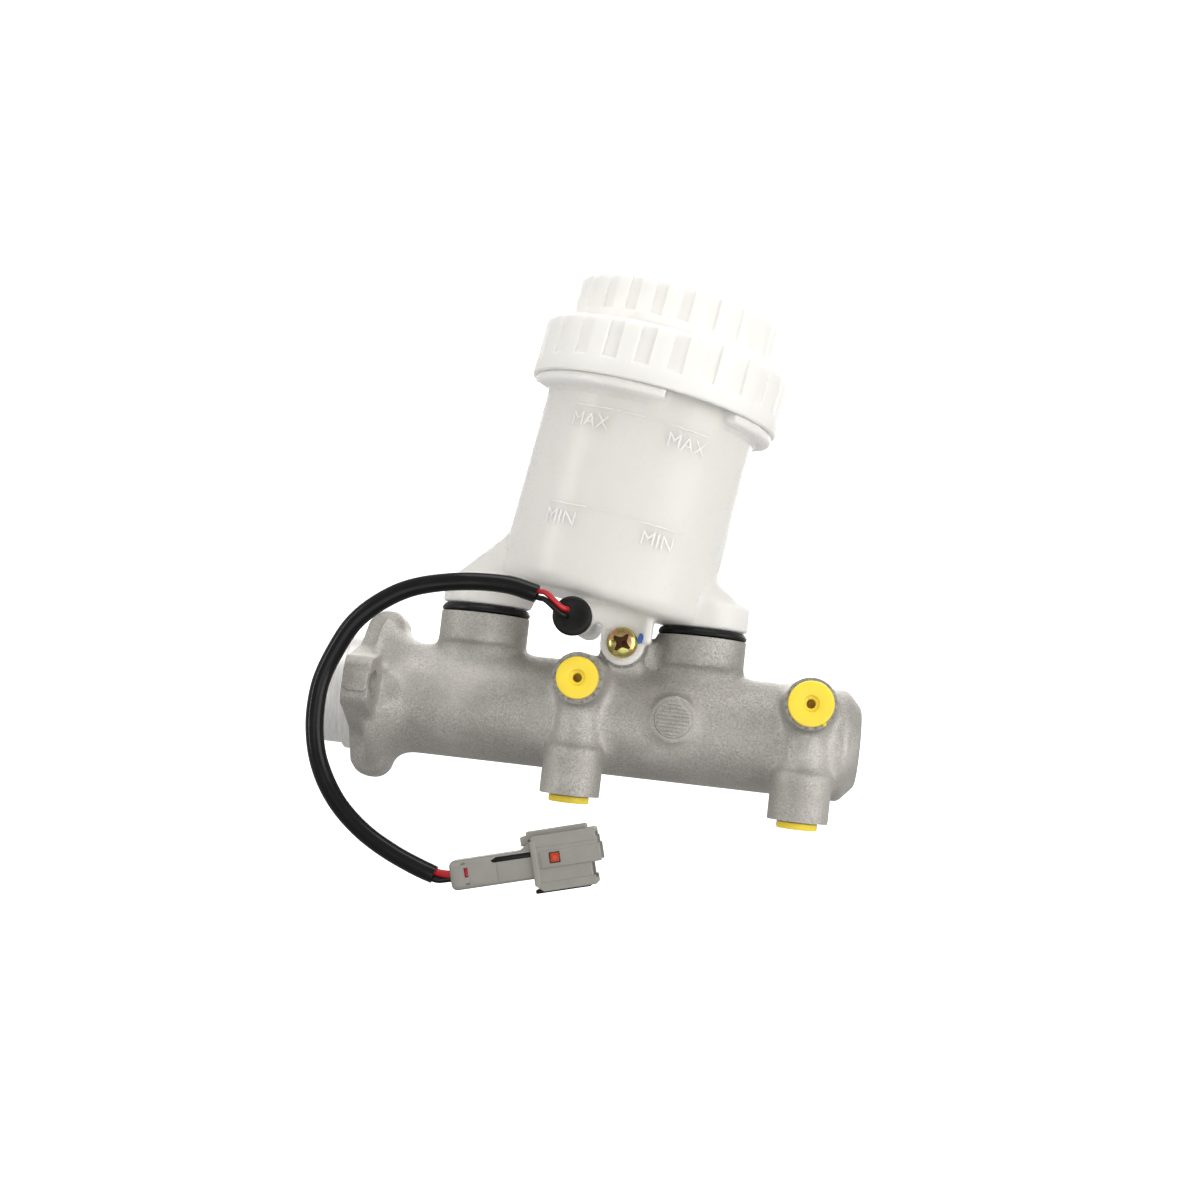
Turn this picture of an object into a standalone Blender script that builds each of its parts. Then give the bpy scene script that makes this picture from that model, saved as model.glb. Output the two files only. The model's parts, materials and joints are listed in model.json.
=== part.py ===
"""Tandem brake master cylinder with its fluid reservoir, level sensor and pigtail lead.

Metres, +Z up. +X runs along the bore from the mounting flange to the closed nose, and -Y is the
side that the outlet ports face. The origin is the centre of the flange's mounting face, on the
bore's axis. Run with: blender --background --python part.py
"""

import math

import bmesh
import bpy
from mathutils import Euler, Matrix, Vector

# Directions
X = Vector((1, 0, 0))
Y = Vector((0, 1, 0))
Z = Vector((0, 0, 1))
UP, DOWN, OUTWARD = Z, -Z, -Y

# Roundness of turned shapes
COARSE, MEDIUM, FINE = 16, 24, 36

GAP = 0.0003  # clearance kept between neighbouring pieces

# Cylinder casting
BORE_RADIUS = 0.0127  # one-inch bore
BARREL_RADIUS = 0.0187
BODY_REAR = -0.012
BODY_LENGTH = 0.1695
NOSE_CHAMFER = 0.006
NOSE_FACE_RADIUS = 0.013
BORE_END = 0.158
SPIGOT_RADIUS = 0.0182
SPIGOT_STEP_RADIUS = 0.0198
SPIGOT_STEP = 0.004
MOUTH_RADIUS = 0.0146
MOUTH_DEPTH = 0.0045
RING_GROOVE_RADIUS = 0.0155
RING_GROOVE_REAR, RING_GROOVE_FRONT = -0.0112, -0.0096

# Flange: two bolt lugs front and back, two plain ears above and below
FLANGE_TWIST = math.radians(6)
LUG_THICKNESS = 0.009
LUG_TIP = 0.0355
LUG_HALF_HEIGHT = 0.0088
BOLT_OFFSET = 0.0275
BOLT_HOLE_RADIUS = 0.0045
SPOT_FACE_RADIUS = 0.0082
EAR_THICKNESS = 0.0125
EAR_TIP = 0.0285
EAR_HALF_WIDTH = 0.0105
LUG_PAD = 0.0078
LUG_PAD_HEIGHT = 0.0008

# Inlet bosses, under the reservoir's two legs
REAR_INLET_X, FRONT_INLET_X = 0.039, 0.1136
INLETS = {"rear": REAR_INLET_X, "front": FRONT_INLET_X}
INLET_TOP = 0.0308
INLET_RADIUS = 0.015
INLET_BASE_RADIUS = 0.0158
INLET_COLLAR_Z, INLET_NECK_SHARE = 0.0208, 0.87
INLET_SOCKET_RADIUS = 0.0115
INLET_SOCKET_FLOOR = 0.022

# Outlet ports: one facing out and one facing down at each of two stations
PRIMARY_PORT_X, SECONDARY_PORT_X = 0.076, 0.1513
STATIONS = {"primary": PRIMARY_PORT_X, "secondary": SECONDARY_PORT_X}
SIDE_PORT_Z = 0.0122
SIDE_PORT_FACE = -0.032
SIDE_PORT_RADIUS = 0.0085
COLLAR_RADIUS = 0.0118
COLLAR_Z = 0.0066
COLLAR_FRONT = -0.020
DOWN_PORT_Y = -0.016
DOWN_PORT_FACE = -0.026
DOWN_PORT_RADIUS = 0.0100
DOWN_NECK_RADIUS = 0.0079
DOWN_NECK_BOTTOM = -0.009
PORT_THREAD_RADIUS = 0.0044
PORT_DEPTH = 0.0145

# Small cast features
SCREW_X, SCREW_Z = 0.0878, 0.0258
SCREW_LUG_RADIUS = 0.0078
SCREW_LUG_FRONT = -0.0110
SCREW_WEB_TOP = 0.0280
PAD_X, PAD_Z = 0.1076, 0.0024
PAD_RADIUS = 0.0079

# Reservoir frame: its axis leans towards the nose
RESERVOIR_FOOT = Vector((0.0768, 0, 0.033))
LEAN = math.radians(8.75)
WALL = 0.0022
RESERVOIR_RADIUS = 0.0364
RESERVOIR_FLOOR = 0.0055
NECK_TOP = 0.0902
LEG_BOTTOM = 0.034
NIPPLE_RADIUS, NIPPLE_BORE, NIPPLE_BOTTOM = 0.009, 0.006, 0.0235
LUG_COUNT = 3
NECK_LUG_RADIUS, NECK_FOOT_RADIUS = 0.0396, 0.0420
NECK_LUG_LOW, NECK_LUG_HIGH = 0.0728, 0.0775
NECK_LUG_SPAN = math.radians(84)
NECK_LUG_END = math.radians(9.2)  # first lug's end, from straight out towards the nose

# Cap, in the reservoir's frame
CAP_RIM, CAP_SHOULDER, CAP_TOP = 0.076, 0.0954, 0.112
CAP_RADIUS, CAP_CROWN_RADIUS = 0.043, 0.0352
CAP_WALL = 0.0024
CAP_GRIPS = 24
GRIP_DEPTH = 0.0009
RIM_GRIP_TURN, CROWN_GRIP_TURN = math.radians(10), math.radians(8)
RIM_BAND, CROWN_BAND = 0.0055, 0.0045
SEAL_RADIUS = 0.0366

# Float, in the reservoir's frame
FLOAT_X, FLOAT_RADIUS = -0.005, 0.013
FLOAT_BOTTOM, FLOAT_TOP = 0.0085, 0.0215
MAGNET_RADIUS, MAGNET_HEIGHT = 0.006, 0.003

# Level sensor tube, across the underside
SENSOR_X, SENSOR_Z = 0.0725, 0.0316
SENSOR_FRONT, SENSOR_REAR = -0.035, 0.032
SENSOR_RADIUS, SENSOR_BORE = 0.0045, 0.0028
BOOT_RADIUS, BOOT_FACE = 0.0064, -0.0386

# Pigtail lead: the sleeve's route, then the wires left bare at both ends
LEAD_Y = -0.043
SLEEVE_RADIUS = 0.0030
WIRE_RADIUS = 0.0008
SLEEVE_ROUTE = [
    (0.0612, 0.0371),
    (0.0507, 0.0391),
    (0.0365, 0.0385),
    (0.0222, 0.0353),
    (0.0120, 0.0298),
    (0.0038, 0.0220),
    (-0.0014, 0.0122),
    (-0.0048, 0.0020),
    (-0.0055, -0.0080),
    (-0.0044, -0.0170),
    (-0.0019, -0.0247),
    (0.0025, -0.0324),
    (0.0081, -0.0388),
    (0.0158, -0.0448),
    (0.0246, -0.0495),
    (0.0328, -0.0528),
    (0.0390, -0.0548),
]
CONNECTOR_AT = Vector((0.0446, LEAD_Y, -0.0544))
CONNECTOR_RISE = math.radians(15.2)
CONNECTOR_TAIL = 0.027
CONNECTOR_LENGTH = 0.0485

# Materials: colour, roughness, metallic
PAINTS = {
    "cast_aluminium": ((0.50, 0.49, 0.47), 0.55, 0.85),
    "turned_aluminium": ((0.62, 0.62, 0.62), 0.35, 0.95),
    "spring_steel": ((0.45, 0.45, 0.46), 0.35, 1.0),
    "zinc_gold": ((0.55, 0.47, 0.18), 0.30, 1.0),
    "black_rubber": ((0.012, 0.012, 0.012), 0.45, 0.0),
    "milky_plastic": ((0.85, 0.84, 0.80), 0.40, 0.0),
    "white_plastic": ((0.88, 0.87, 0.83), 0.45, 0.0),
    "yellow_plastic": ((0.90, 0.62, 0.02), 0.40, 0.0),
    "black_sleeve": ((0.010, 0.010, 0.011), 0.40, 0.0),
    "red_wire": ((0.55, 0.01, 0.02), 0.40, 0.0),
    "grey_plastic": ((0.36, 0.36, 0.34), 0.50, 0.0),
    "orange_plastic": ((0.75, 0.12, 0.03), 0.45, 0.0),
    "terminal_brass": ((0.75, 0.55, 0.22), 0.30, 1.0),
    "float_foam": ((0.80, 0.76, 0.62), 0.70, 0.0),
    "magnet": ((0.10, 0.10, 0.11), 0.60, 0.2),
}


# ---------------------------------------------------------------- shapes


def turned(profile, at, along, sides=FINE, ring=False):
    """A turned shape. profile lists (distance along the axis, radius); a ring's profile is a loop."""
    shape = bmesh.new()
    turn = Z.rotation_difference(along).to_matrix()
    rows = []
    for height, radius in profile:
        count = sides if radius > 0 else 1
        row = []
        for step in range(count):
            angle = 2 * math.pi * step / sides
            local = Vector((radius * math.cos(angle), radius * math.sin(angle), height))
            row.append(shape.verts.new(at + turn @ local))
        rows.append(row)
    pairs = list(zip(rows, rows[1:]))
    if ring:
        pairs.append((rows[-1], rows[0]))
    for low, high in pairs:
        for step in range(sides):
            following = (step + 1) % sides
            corners = [low[step % len(low)], low[following % len(low)]]
            corners += [high[following % len(high)], high[step % len(high)]]
            shape.faces.new(list(dict.fromkeys(corners)))
    bmesh.ops.recalc_face_normals(shape, faces=shape.faces)
    return shape


def rod(start, end, radius, sides=MEDIUM, end_radius=None):
    """A round bar between two points, straight or tapered."""
    length = (end - start).length
    last = radius if end_radius is None else end_radius
    profile = [(0, 0), (0, radius), (length, last), (length, 0)]
    return turned(profile, start, (end - start).normalized(), sides)


def block(low, high):
    """A box between two opposite corners."""
    low, high = Vector(low), Vector(high)
    shape = bmesh.new()
    bmesh.ops.create_cube(shape, size=1)
    size = high - low
    bmesh.ops.scale(shape, vec=size, verts=shape.verts)
    bmesh.ops.translate(shape, vec=(low + high) / 2, verts=shape.verts)
    return shape


def rounded_block(low, high, radius, along):
    """A box whose edges along one axis (0, 1 or 2) are rounded."""
    shape = block(low, high)
    edges = [e for e in shape.edges if abs((e.verts[0].co - e.verts[1].co)[along]) > 1e-6]
    bmesh.ops.bevel(shape, geom=edges, offset=radius, segments=3, affect="EDGES", profile=0.5)
    return shape


def convex(shape):
    """The convex skin round a shape's points."""
    found = bmesh.ops.convex_hull(shape, input=shape.verts)
    inside = [v for v in found["geom_interior"] if isinstance(v, bmesh.types.BMVert)]
    bmesh.ops.delete(shape, geom=inside, context="VERTS")
    bmesh.ops.recalc_face_normals(shape, faces=shape.faces)
    return shape


def hull(circles, sides=MEDIUM):
    """The convex shape around level circles, each (x, y, z, radius)."""
    shape = bmesh.new()
    for x, y, z, radius in circles:
        for step in range(sides):
            angle = 2 * math.pi * step / sides
            shape.verts.new((x + radius * math.cos(angle), y + radius * math.sin(angle), z))
    return convex(shape)


def prism(outline, near, far):
    """A plate lying across X: outline lists (y, z), and near and far are its two faces."""
    shape = bmesh.new()
    rear = [shape.verts.new((near, y, z)) for y, z in outline]
    front = [shape.verts.new((far, y, z)) for y, z in outline]
    shape.faces.new(rear)
    shape.faces.new(front)
    for step in range(len(outline)):
        following = (step + 1) % len(outline)
        shape.faces.new([rear[step], rear[following], front[following], front[step]])
    bmesh.ops.recalc_face_normals(shape, faces=shape.faces)
    return shape


def arc_band(inner, outer, low, high, start, span, steps=12):
    """Part of a ring round Z, from the angle start through span, measured from -Y towards +X."""
    shape = bmesh.new()
    loops = []
    for step in range(steps + 1):
        angle = start + span * step / steps
        out = Vector((math.sin(angle), -math.cos(angle), 0))
        corners = [(inner, low), (outer, low), (outer, high), (inner, high)]
        loops.append([shape.verts.new(out * radius + Z * height) for radius, height in corners])
    for first, second in zip(loops, loops[1:]):
        for side in range(4):
            following = (side + 1) % 4
            shape.faces.new([first[side], first[following], second[following], second[side]])
    shape.faces.new(loops[0])
    shape.faces.new(loops[-1])
    bmesh.ops.recalc_face_normals(shape, faces=shape.faces)
    return shape


def repeated(shape_of, count, start=0.0):
    """Copies of one shape round Z, as one mesh of separate bodies, for use as a cutter."""
    shape = bmesh.new()
    for number in range(count):
        single = shape_of()
        bmesh.ops.rotate(
            single,
            cent=(0, 0, 0),
            matrix=Matrix.Rotation(start + 2 * math.pi * number / count, 3, "Z"),
            verts=single.verts,
        )
        loose = bpy.data.meshes.new("copy")
        single.to_mesh(loose)
        single.free()
        shape.from_mesh(loose)
        bpy.data.meshes.remove(loose)
    return shape


def smooth_path(points, spacing):
    """Points at about the given spacing on a smooth curve through the given ones."""
    points = [Vector(p) for p in points]
    ends = [2 * points[0] - points[1]] + points + [2 * points[-1] - points[-2]]
    dense = []
    for before, start, end, after in zip(ends, ends[1:], ends[2:], ends[3:]):
        for step in range(20):
            t = step / 20
            even = 2 * start + (end - before) * t
            even += (2 * before - 5 * start + 4 * end - after) * t**2
            even += (3 * start - before - 3 * end + after) * t**3
            dense.append(even / 2)
    dense.append(points[-1])
    reach = [0.0]
    for first, second in zip(dense, dense[1:]):
        reach.append(reach[-1] + (second - first).length)
    count = max(2, round(reach[-1] / spacing))
    path = []
    place = 0
    for number in range(count + 1):
        target = reach[-1] * number / count
        while place < len(reach) - 2 and reach[place + 1] < target:
            place += 1
        share = (target - reach[place]) / max(reach[place + 1] - reach[place], 1e-9)
        path.append(dense[place].lerp(dense[place + 1], share))
    return path


# ---------------------------------------------------------------- objects


def clear_scene():
    for thing in list(bpy.data.objects):
        bpy.data.objects.remove(thing)


def paint_of(name):
    """The material of this name, made on first use."""
    if name in bpy.data.materials:
        return bpy.data.materials[name]
    colour, roughness, metallic = PAINTS[name]
    paint = bpy.data.materials.new(name)
    paint.use_nodes = True
    shader = paint.node_tree.nodes["Principled BSDF"]
    shader.inputs["Base Color"].default_value = (*colour, 1)
    shader.inputs["Roughness"].default_value = roughness
    shader.inputs["Metallic"].default_value = metallic
    return paint


def add(name, shape, paint, parent=None, origin=None):
    """A visible piece. Its origin goes to the given point, in its parent's frame."""
    if origin is not None:
        bmesh.ops.translate(shape, vec=-Vector(origin), verts=shape.verts)
    mesh = bpy.data.meshes.new(name)
    shape.to_mesh(mesh)
    shape.free()
    mesh.materials.append(paint_of(paint))
    mesh.shade_smooth()
    mesh.set_sharp_from_angle(angle=math.radians(35))
    piece = bpy.data.objects.new(name, mesh)
    piece.parent = parent
    if origin is not None:
        piece.location = origin
    bpy.context.scene.collection.objects.link(piece)
    return piece


def combine(piece, shapes, operation):
    """Joins shapes to a piece or cuts them away, with one Boolean that stays on the piece."""
    label = f"{piece.name}_{operation.lower()}"
    group = bpy.data.collections.new(label)
    bpy.context.scene.collection.children.link(group)
    for shape in shapes:
        mesh = bpy.data.meshes.new("construction")
        shape.to_mesh(mesh)
        shape.free()
        helper = bpy.data.objects.new(label, mesh)
        helper.parent = piece
        helper.location = -piece.location
        helper.hide_render = True
        helper.display_type = "WIRE"
        group.objects.link(helper)
    modifier = piece.modifiers.new(label, "BOOLEAN")
    modifier.operation = operation
    modifier.operand_type = "COLLECTION"
    modifier.collection = group


def join(piece, *shapes):
    combine(piece, shapes, "UNION")


def cut(piece, *shapes):
    combine(piece, shapes, "DIFFERENCE")


def add_tube(name, path, radius, paint, smoothness):
    """A round cord along a path, with closed ends."""
    curve = bpy.data.curves.new(name, "CURVE")
    curve.dimensions = "3D"
    curve.bevel_depth = radius
    curve.bevel_resolution = smoothness
    curve.use_fill_caps = True
    spline = curve.splines.new("POLY")
    spline.points.add(len(path) - 1)
    for point, place in zip(spline.points, path):
        point.co = (*place, 1)
    curve.materials.append(paint_of(paint))
    tube = bpy.data.objects.new(name, curve)
    bpy.context.scene.collection.objects.link(tube)
    return tube


def add_frame(name, location, rotation):
    """An empty that carries the pieces of one leaning assembly."""
    frame = bpy.data.objects.new(name, None)
    frame.location = location
    frame.rotation_euler = rotation
    bpy.context.scene.collection.objects.link(frame)
    return frame


# ---------------------------------------------------------------- cylinder casting


def body_barrel():
    """Spigot, barrel and nose, turned about the bore's axis."""
    nose = BODY_LENGTH - NOSE_CHAMFER
    profile = [
        (BODY_REAR, 0),
        (BODY_REAR, SPIGOT_RADIUS - 0.001),
        (BODY_REAR + 0.001, SPIGOT_RADIUS),
        (-SPIGOT_STEP, SPIGOT_RADIUS),
        (-SPIGOT_STEP, SPIGOT_STEP_RADIUS),
        (EAR_THICKNESS / 2, SPIGOT_STEP_RADIUS),
        (EAR_THICKNESS / 2, BARREL_RADIUS + 0.0080),
        (LUG_THICKNESS, BARREL_RADIUS + 0.0070),
        (EAR_THICKNESS, BARREL_RADIUS + 0.0036),
        (EAR_THICKNESS + 0.0022, BARREL_RADIUS + 0.0016),
        (EAR_THICKNESS + 0.0055, BARREL_RADIUS),
        (nose, BARREL_RADIUS),
        (BODY_LENGTH, NOSE_FACE_RADIUS),
        (BODY_LENGTH, 0),
    ]
    return turned(profile, Vector(), X, 44)


def rounded_outline(half_length, tip_half_width, root, root_half_width):
    """A bar across the axis: straight tips with rounded corners, widening towards the middle."""
    corner = tip_half_width * 0.55
    quarter = []
    for step in range(4):
        angle = math.radians(90) * step / 3
        along = half_length - corner + corner * math.cos(angle)
        across = tip_half_width - corner + corner * math.sin(angle)
        quarter.append((along, across))
    quarter.append((root, root_half_width))
    mirrored = [(-along, across) for along, across in reversed(quarter)]
    upper = quarter + mirrored
    return upper + [(along, -across) for along, across in reversed(upper)]


def twisted(outline):
    """Points turned about the bore by the flange's twist, which raises the outlet side."""
    turn = Matrix.Rotation(-FLANGE_TWIST, 2)
    return [tuple(turn @ Vector(point)) for point in outline]


def flange_point(x, y, z):
    """A point of the flange, after its twist."""
    y, z = twisted([(y, z)])[0]
    return Vector((x, y, z))


def ear_shape():
    """Both plain ears as one bar, rounded over its tips."""
    shape = bmesh.new()
    for shorter, inset in ((0.0048, 0), (0.0014, 0.0018), (0, 0.0045)):
        tip = EAR_TIP - shorter
        outline = rounded_outline(tip, EAR_HALF_WIDTH * 0.8, 0.014, EAR_HALF_WIDTH * 1.35)
        for y, z in twisted([(across, along) for along, across in outline]):
            shape.verts.new((inset, y, z))
            shape.verts.new((EAR_THICKNESS - inset, y, z))
    return convex(shape)


def flange_shapes():
    lugs = rounded_outline(LUG_TIP, LUG_HALF_HEIGHT, 0.014, 0.0145)
    yield prism(twisted(lugs), 0, LUG_THICKNESS)
    yield ear_shape()
    for side in (-1, 1):
        tip = side * (LUG_TIP + LUG_PAD_HEIGHT)
        low = (0.0007, min(tip, side * 0.03), -LUG_PAD / 2)
        high = (0.0007 + LUG_PAD, max(tip, side * 0.03), LUG_PAD / 2)
        pad = rounded_block(low, high, 0.002, 1)
        turn = Matrix.Rotation(-FLANGE_TWIST, 3, "X")
        bmesh.ops.rotate(pad, cent=(0, 0, 0), matrix=turn, verts=pad.verts)
        yield pad


def inlet_shapes(x):
    """An inlet boss: a round collar on a neck that is narrower from front to back."""
    yield rod(Vector((x, 0, INLET_COLLAR_Z)), Vector((x, 0, INLET_TOP)), INLET_RADIUS, FINE)
    neck_top = Vector((x, 0, INLET_COLLAR_Z + 0.001))
    neck = rod(Vector((x, 0, 0.004)), neck_top, INLET_BASE_RADIUS, FINE, INLET_RADIUS - 0.0002)
    bmesh.ops.scale(neck, vec=(1, INLET_NECK_SHARE, 1), verts=neck.verts)
    yield neck


def outlet_shapes(x):
    """The outward port with its cast collar, and the downward port under it."""
    root = Vector((x, 0, SIDE_PORT_Z))
    collar_root = Vector((x, 0, COLLAR_Z))
    face = Vector((x, SIDE_PORT_FACE, SIDE_PORT_Z))
    yield rod(root, face, SIDE_PORT_RADIUS + 0.0005, MEDIUM, SIDE_PORT_RADIUS)
    collar_end = Vector((x, COLLAR_FRONT, SIDE_PORT_Z))
    yield rod(collar_root, collar_end, COLLAR_RADIUS, MEDIUM, SIDE_PORT_RADIUS)
    neck_top = Vector((x, DOWN_PORT_Y, SIDE_PORT_Z))
    neck_low = Vector((x, DOWN_PORT_Y, DOWN_NECK_BOTTOM - 0.001))
    yield rod(neck_top, neck_low, DOWN_NECK_RADIUS)
    profile = [
        (0, 0),
        (0, DOWN_NECK_RADIUS),
        (0.0016, DOWN_PORT_RADIUS),
        (DOWN_NECK_BOTTOM - DOWN_PORT_FACE, DOWN_PORT_RADIUS),
        (DOWN_NECK_BOTTOM - DOWN_PORT_FACE, 0),
    ]
    yield turned(profile, Vector((x, DOWN_PORT_Y, DOWN_NECK_BOTTOM)), DOWN, MEDIUM)


def screw_lug_shapes():
    """The lug that takes the reservoir's screw, on a web down to the barrel."""
    rear = Vector((SCREW_X, 0.0088, SCREW_Z))
    front = Vector((SCREW_X, SCREW_LUG_FRONT, SCREW_Z))
    yield rod(rear, front, SCREW_LUG_RADIUS)
    low = (SCREW_X - SCREW_LUG_RADIUS * 0.9, SCREW_LUG_FRONT + 0.0006, 0.012)
    yield block(low, (SCREW_X + SCREW_LUG_RADIUS * 0.9, 0.0078, SCREW_Z - 0.002))
    yield block((SCREW_X, -0.0072, 0.012), (FRONT_INLET_X - INLET_SOCKET_RADIUS - 0.0015, 0.0072, SCREW_WEB_TOP))


def pad_shapes():
    """The cast inspection pad: a ring with a raised disc."""
    back = Vector((PAD_X, -0.012, PAD_Z))
    yield rod(back, Vector((PAD_X, -0.0194, PAD_Z)), PAD_RADIUS)
    yield rod(back, Vector((PAD_X, -0.0201, PAD_Z)), PAD_RADIUS - 0.0016)


def bore_cuts():
    """The stepped bore and its retaining-ring groove."""
    mouth_end = BODY_REAR + MOUTH_DEPTH
    profile = [
        (BODY_REAR - 0.001, 0),
        (BODY_REAR - 0.001, MOUTH_RADIUS + 0.0012),
        (BODY_REAR + 0.0004, MOUTH_RADIUS),
        (RING_GROOVE_REAR, MOUTH_RADIUS),
        (RING_GROOVE_REAR, RING_GROOVE_RADIUS),
        (RING_GROOVE_FRONT, RING_GROOVE_RADIUS),
        (RING_GROOVE_FRONT, MOUTH_RADIUS),
        (mouth_end, MOUTH_RADIUS),
        (mouth_end, BORE_RADIUS),
        (BORE_END, BORE_RADIUS),
        (BORE_END + 0.003, 0),
    ]
    yield turned(profile, Vector(), X)


def inlet_cuts(name, x):
    """The grommet's socket and the drillings down to the bore."""
    floor = Vector((x, 0, INLET_SOCKET_FLOOR))
    yield rod(floor, Vector((x, 0, INLET_TOP + 0.002)), INLET_SOCKET_RADIUS)
    small_x, small_radius = DRILLINGS[name]["feed"]
    yield rod(Vector((small_x, 0, 0.010)), Vector((small_x, 0, 0.023)), small_radius, 12)
    small_x, small_radius = DRILLINGS[name]["intake"]
    yield rod(Vector((small_x, 0, 0.010)), Vector((small_x, 0, 0.023)), small_radius, 16)


DRILLINGS = {
    "rear": {"feed": (0.0395, 0.0009), "intake": (0.0305, 0.0018)},
    "front": {"feed": (0.1150, 0.0009), "intake": (0.1040, 0.0023)},
}


def outlet_cuts(x):
    """The threaded ports and the passages that join them to the bore."""
    side_floor = Vector((x, SIDE_PORT_FACE + PORT_DEPTH, SIDE_PORT_Z))
    yield rod(side_floor, Vector((x, SIDE_PORT_FACE - 0.002, SIDE_PORT_Z)), PORT_THREAD_RADIUS, 24)
    yield rod(side_floor - Y * 0.002, Vector((x, -0.008, 0.0062)), 0.0014, 12)
    down_floor = Vector((x, DOWN_PORT_Y, DOWN_PORT_FACE + PORT_DEPTH))
    yield rod(down_floor, Vector((x, DOWN_PORT_Y, DOWN_PORT_FACE - 0.002)), PORT_THREAD_RADIUS, 24)
    yield rod(down_floor - Z * 0.002, Vector((x, -0.0095, -0.0055)), 0.0014, 12)


def bolt_cuts():
    for side in (-1, 1):
        near = flange_point(-0.002, side * BOLT_OFFSET, 0)
        far = flange_point(LUG_THICKNESS + 0.004, side * BOLT_OFFSET, 0)
        yield rod(near, far, BOLT_HOLE_RADIUS, 24)
        seat = flange_point(LUG_THICKNESS - 0.0002, side * BOLT_OFFSET, 0)
        yield rod(seat, flange_point(LUG_THICKNESS + 0.010, side * BOLT_OFFSET, 0), SPOT_FACE_RADIUS, 24)


def screw_hole():
    return rod(Vector((SCREW_X, -0.012, SCREW_Z)), Vector((SCREW_X, 0.003, SCREW_Z)), 0.0024, 16)


def make_body():
    added = [*flange_shapes(), *screw_lug_shapes(), *pad_shapes()]
    removed = [*bore_cuts(), *bolt_cuts(), screw_hole()]
    for name, x in INLETS.items():
        added += inlet_shapes(x)
        removed += inlet_cuts(name, x)
    for x in STATIONS.values():
        added += outlet_shapes(x)
        removed += outlet_cuts(x)
    body = add("cylinder_body", body_barrel(), "cast_aluminium")
    join(body, *added)
    cut(body, *removed)


# ---------------------------------------------------------------- inside the bore


def make_mouth_rings():
    """Stop washer and snap ring that keep the primary piston in."""
    mouth_end = BODY_REAR + MOUTH_DEPTH
    rear = mouth_end - 0.0018
    front = mouth_end - 0.0003
    profile = [(rear, 0.0105), (rear, MOUTH_RADIUS - GAP), (front, MOUTH_RADIUS - GAP), (front, 0.0105)]
    add("stop_washer", turned(profile, Vector(), X, MEDIUM, ring=True), "spring_steel")
    thick = RING_GROOVE_FRONT - RING_GROOVE_REAR - 0.0005
    snap = arc_band(0.0128, RING_GROOVE_RADIUS - GAP, 0, thick, math.radians(18), math.radians(324), 26)
    turn = Z.rotation_difference(X).to_matrix()
    bmesh.ops.rotate(snap, cent=(0, 0, 0), matrix=turn, verts=snap.verts)
    bmesh.ops.translate(snap, vec=X * (RING_GROOVE_REAR + 0.00025), verts=snap.verts)
    add("snap_ring", snap, "spring_steel")


PISTON_RADIUS = BORE_RADIUS - GAP
PRIMARY_REAR = BODY_REAR + MOUTH_DEPTH + 0.0002


def make_primary_piston():
    socket_end = 0.012
    profile = [
        (socket_end, 0),
        (socket_end - 0.004, 0.0045),
        (socket_end - 0.008, 0.0055),
        (PRIMARY_REAR - 0.003, 0.0055),
        (PRIMARY_REAR - 0.003, 0.0098),
        (PRIMARY_REAR, 0.0098),
        (PRIMARY_REAR, PISTON_RADIUS),
        (0.0095, PISTON_RADIUS),
        (0.0095, 0.0095),
        (0.0135, 0.0095),
        (0.0135, PISTON_RADIUS),
        (0.0155, PISTON_RADIUS),
        (0.0155, 0.009),
        (0.0315, 0.009),
        (0.0315, PISTON_RADIUS),
        (0.034, PISTON_RADIUS),
        (0.034, 0.008),
        (0.038, 0.008),
        (0.038, 0.005),
        (0.041, 0.005),
        (0.041, 0),
    ]
    add("primary_piston", turned(profile, Vector(), X, 20), "turned_aluminium")
    add_cup("primary_rear_seal", 0.0098, 0.0132, 0.0098)
    add_cup("primary_cup", 0.0343, 0.0377, 0.0083)
    profile = [
        (0.0413, 0),
        (0.0413, 0.0018),
        (0.0800, 0.0018),
        (0.0800, 0.0030),
        (0.0818, 0.0030),
        (0.0818, 0),
    ]
    add("spring_guide_screw", turned(profile, Vector(), X, 12), "spring_steel")
    add_spring("primary_spring", 0.0392, 0.0762, 0.0078, 0.0012, 5)


def make_secondary_piston():
    rear = 0.0795
    profile = [
        (0.0970, 0),
        (0.0955, 0.0042),
        (rear, 0.0042),
        (rear, PISTON_RADIUS),
        (0.0815, PISTON_RADIUS),
        (0.0815, 0.0085),
        (0.0855, 0.0085),
        (0.0855, PISTON_RADIUS),
        (0.0873, PISTON_RADIUS),
        (0.0873, 0.007),
        (0.1064, 0.007),
        (0.1064, PISTON_RADIUS),
        (0.1093, PISTON_RADIUS),
        (0.1093, 0.008),
        (0.1130, 0.008),
        (0.1130, 0.005),
        (0.1170, 0.005),
        (0.1170, 0),
    ]
    add("secondary_piston", turned(profile, Vector(), X, 20), "turned_aluminium")
    add_cup("secondary_rear_cup", 0.0818, 0.0852, 0.0088)
    add_cup("secondary_front_cup", 0.1096, 0.1127, 0.0083)
    profile = [(0.0776, 0.0024), (0.0776, 0.0108), (0.0791, 0.0108), (0.0791, 0.0024)]
    add("spring_retainer", turned(profile, Vector(), X, 24, ring=True), "spring_steel")
    add_spring("secondary_spring", 0.1186, 0.1552, 0.0082, 0.0012, 5)
    pin_x = DRILLINGS["front"]["intake"][0]
    pin = rod(Vector((pin_x, 0, 0.0088)), Vector((pin_x, 0, 0.0216)), 0.002, 16)
    add("secondary_stop_pin", pin, "spring_steel")


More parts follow.
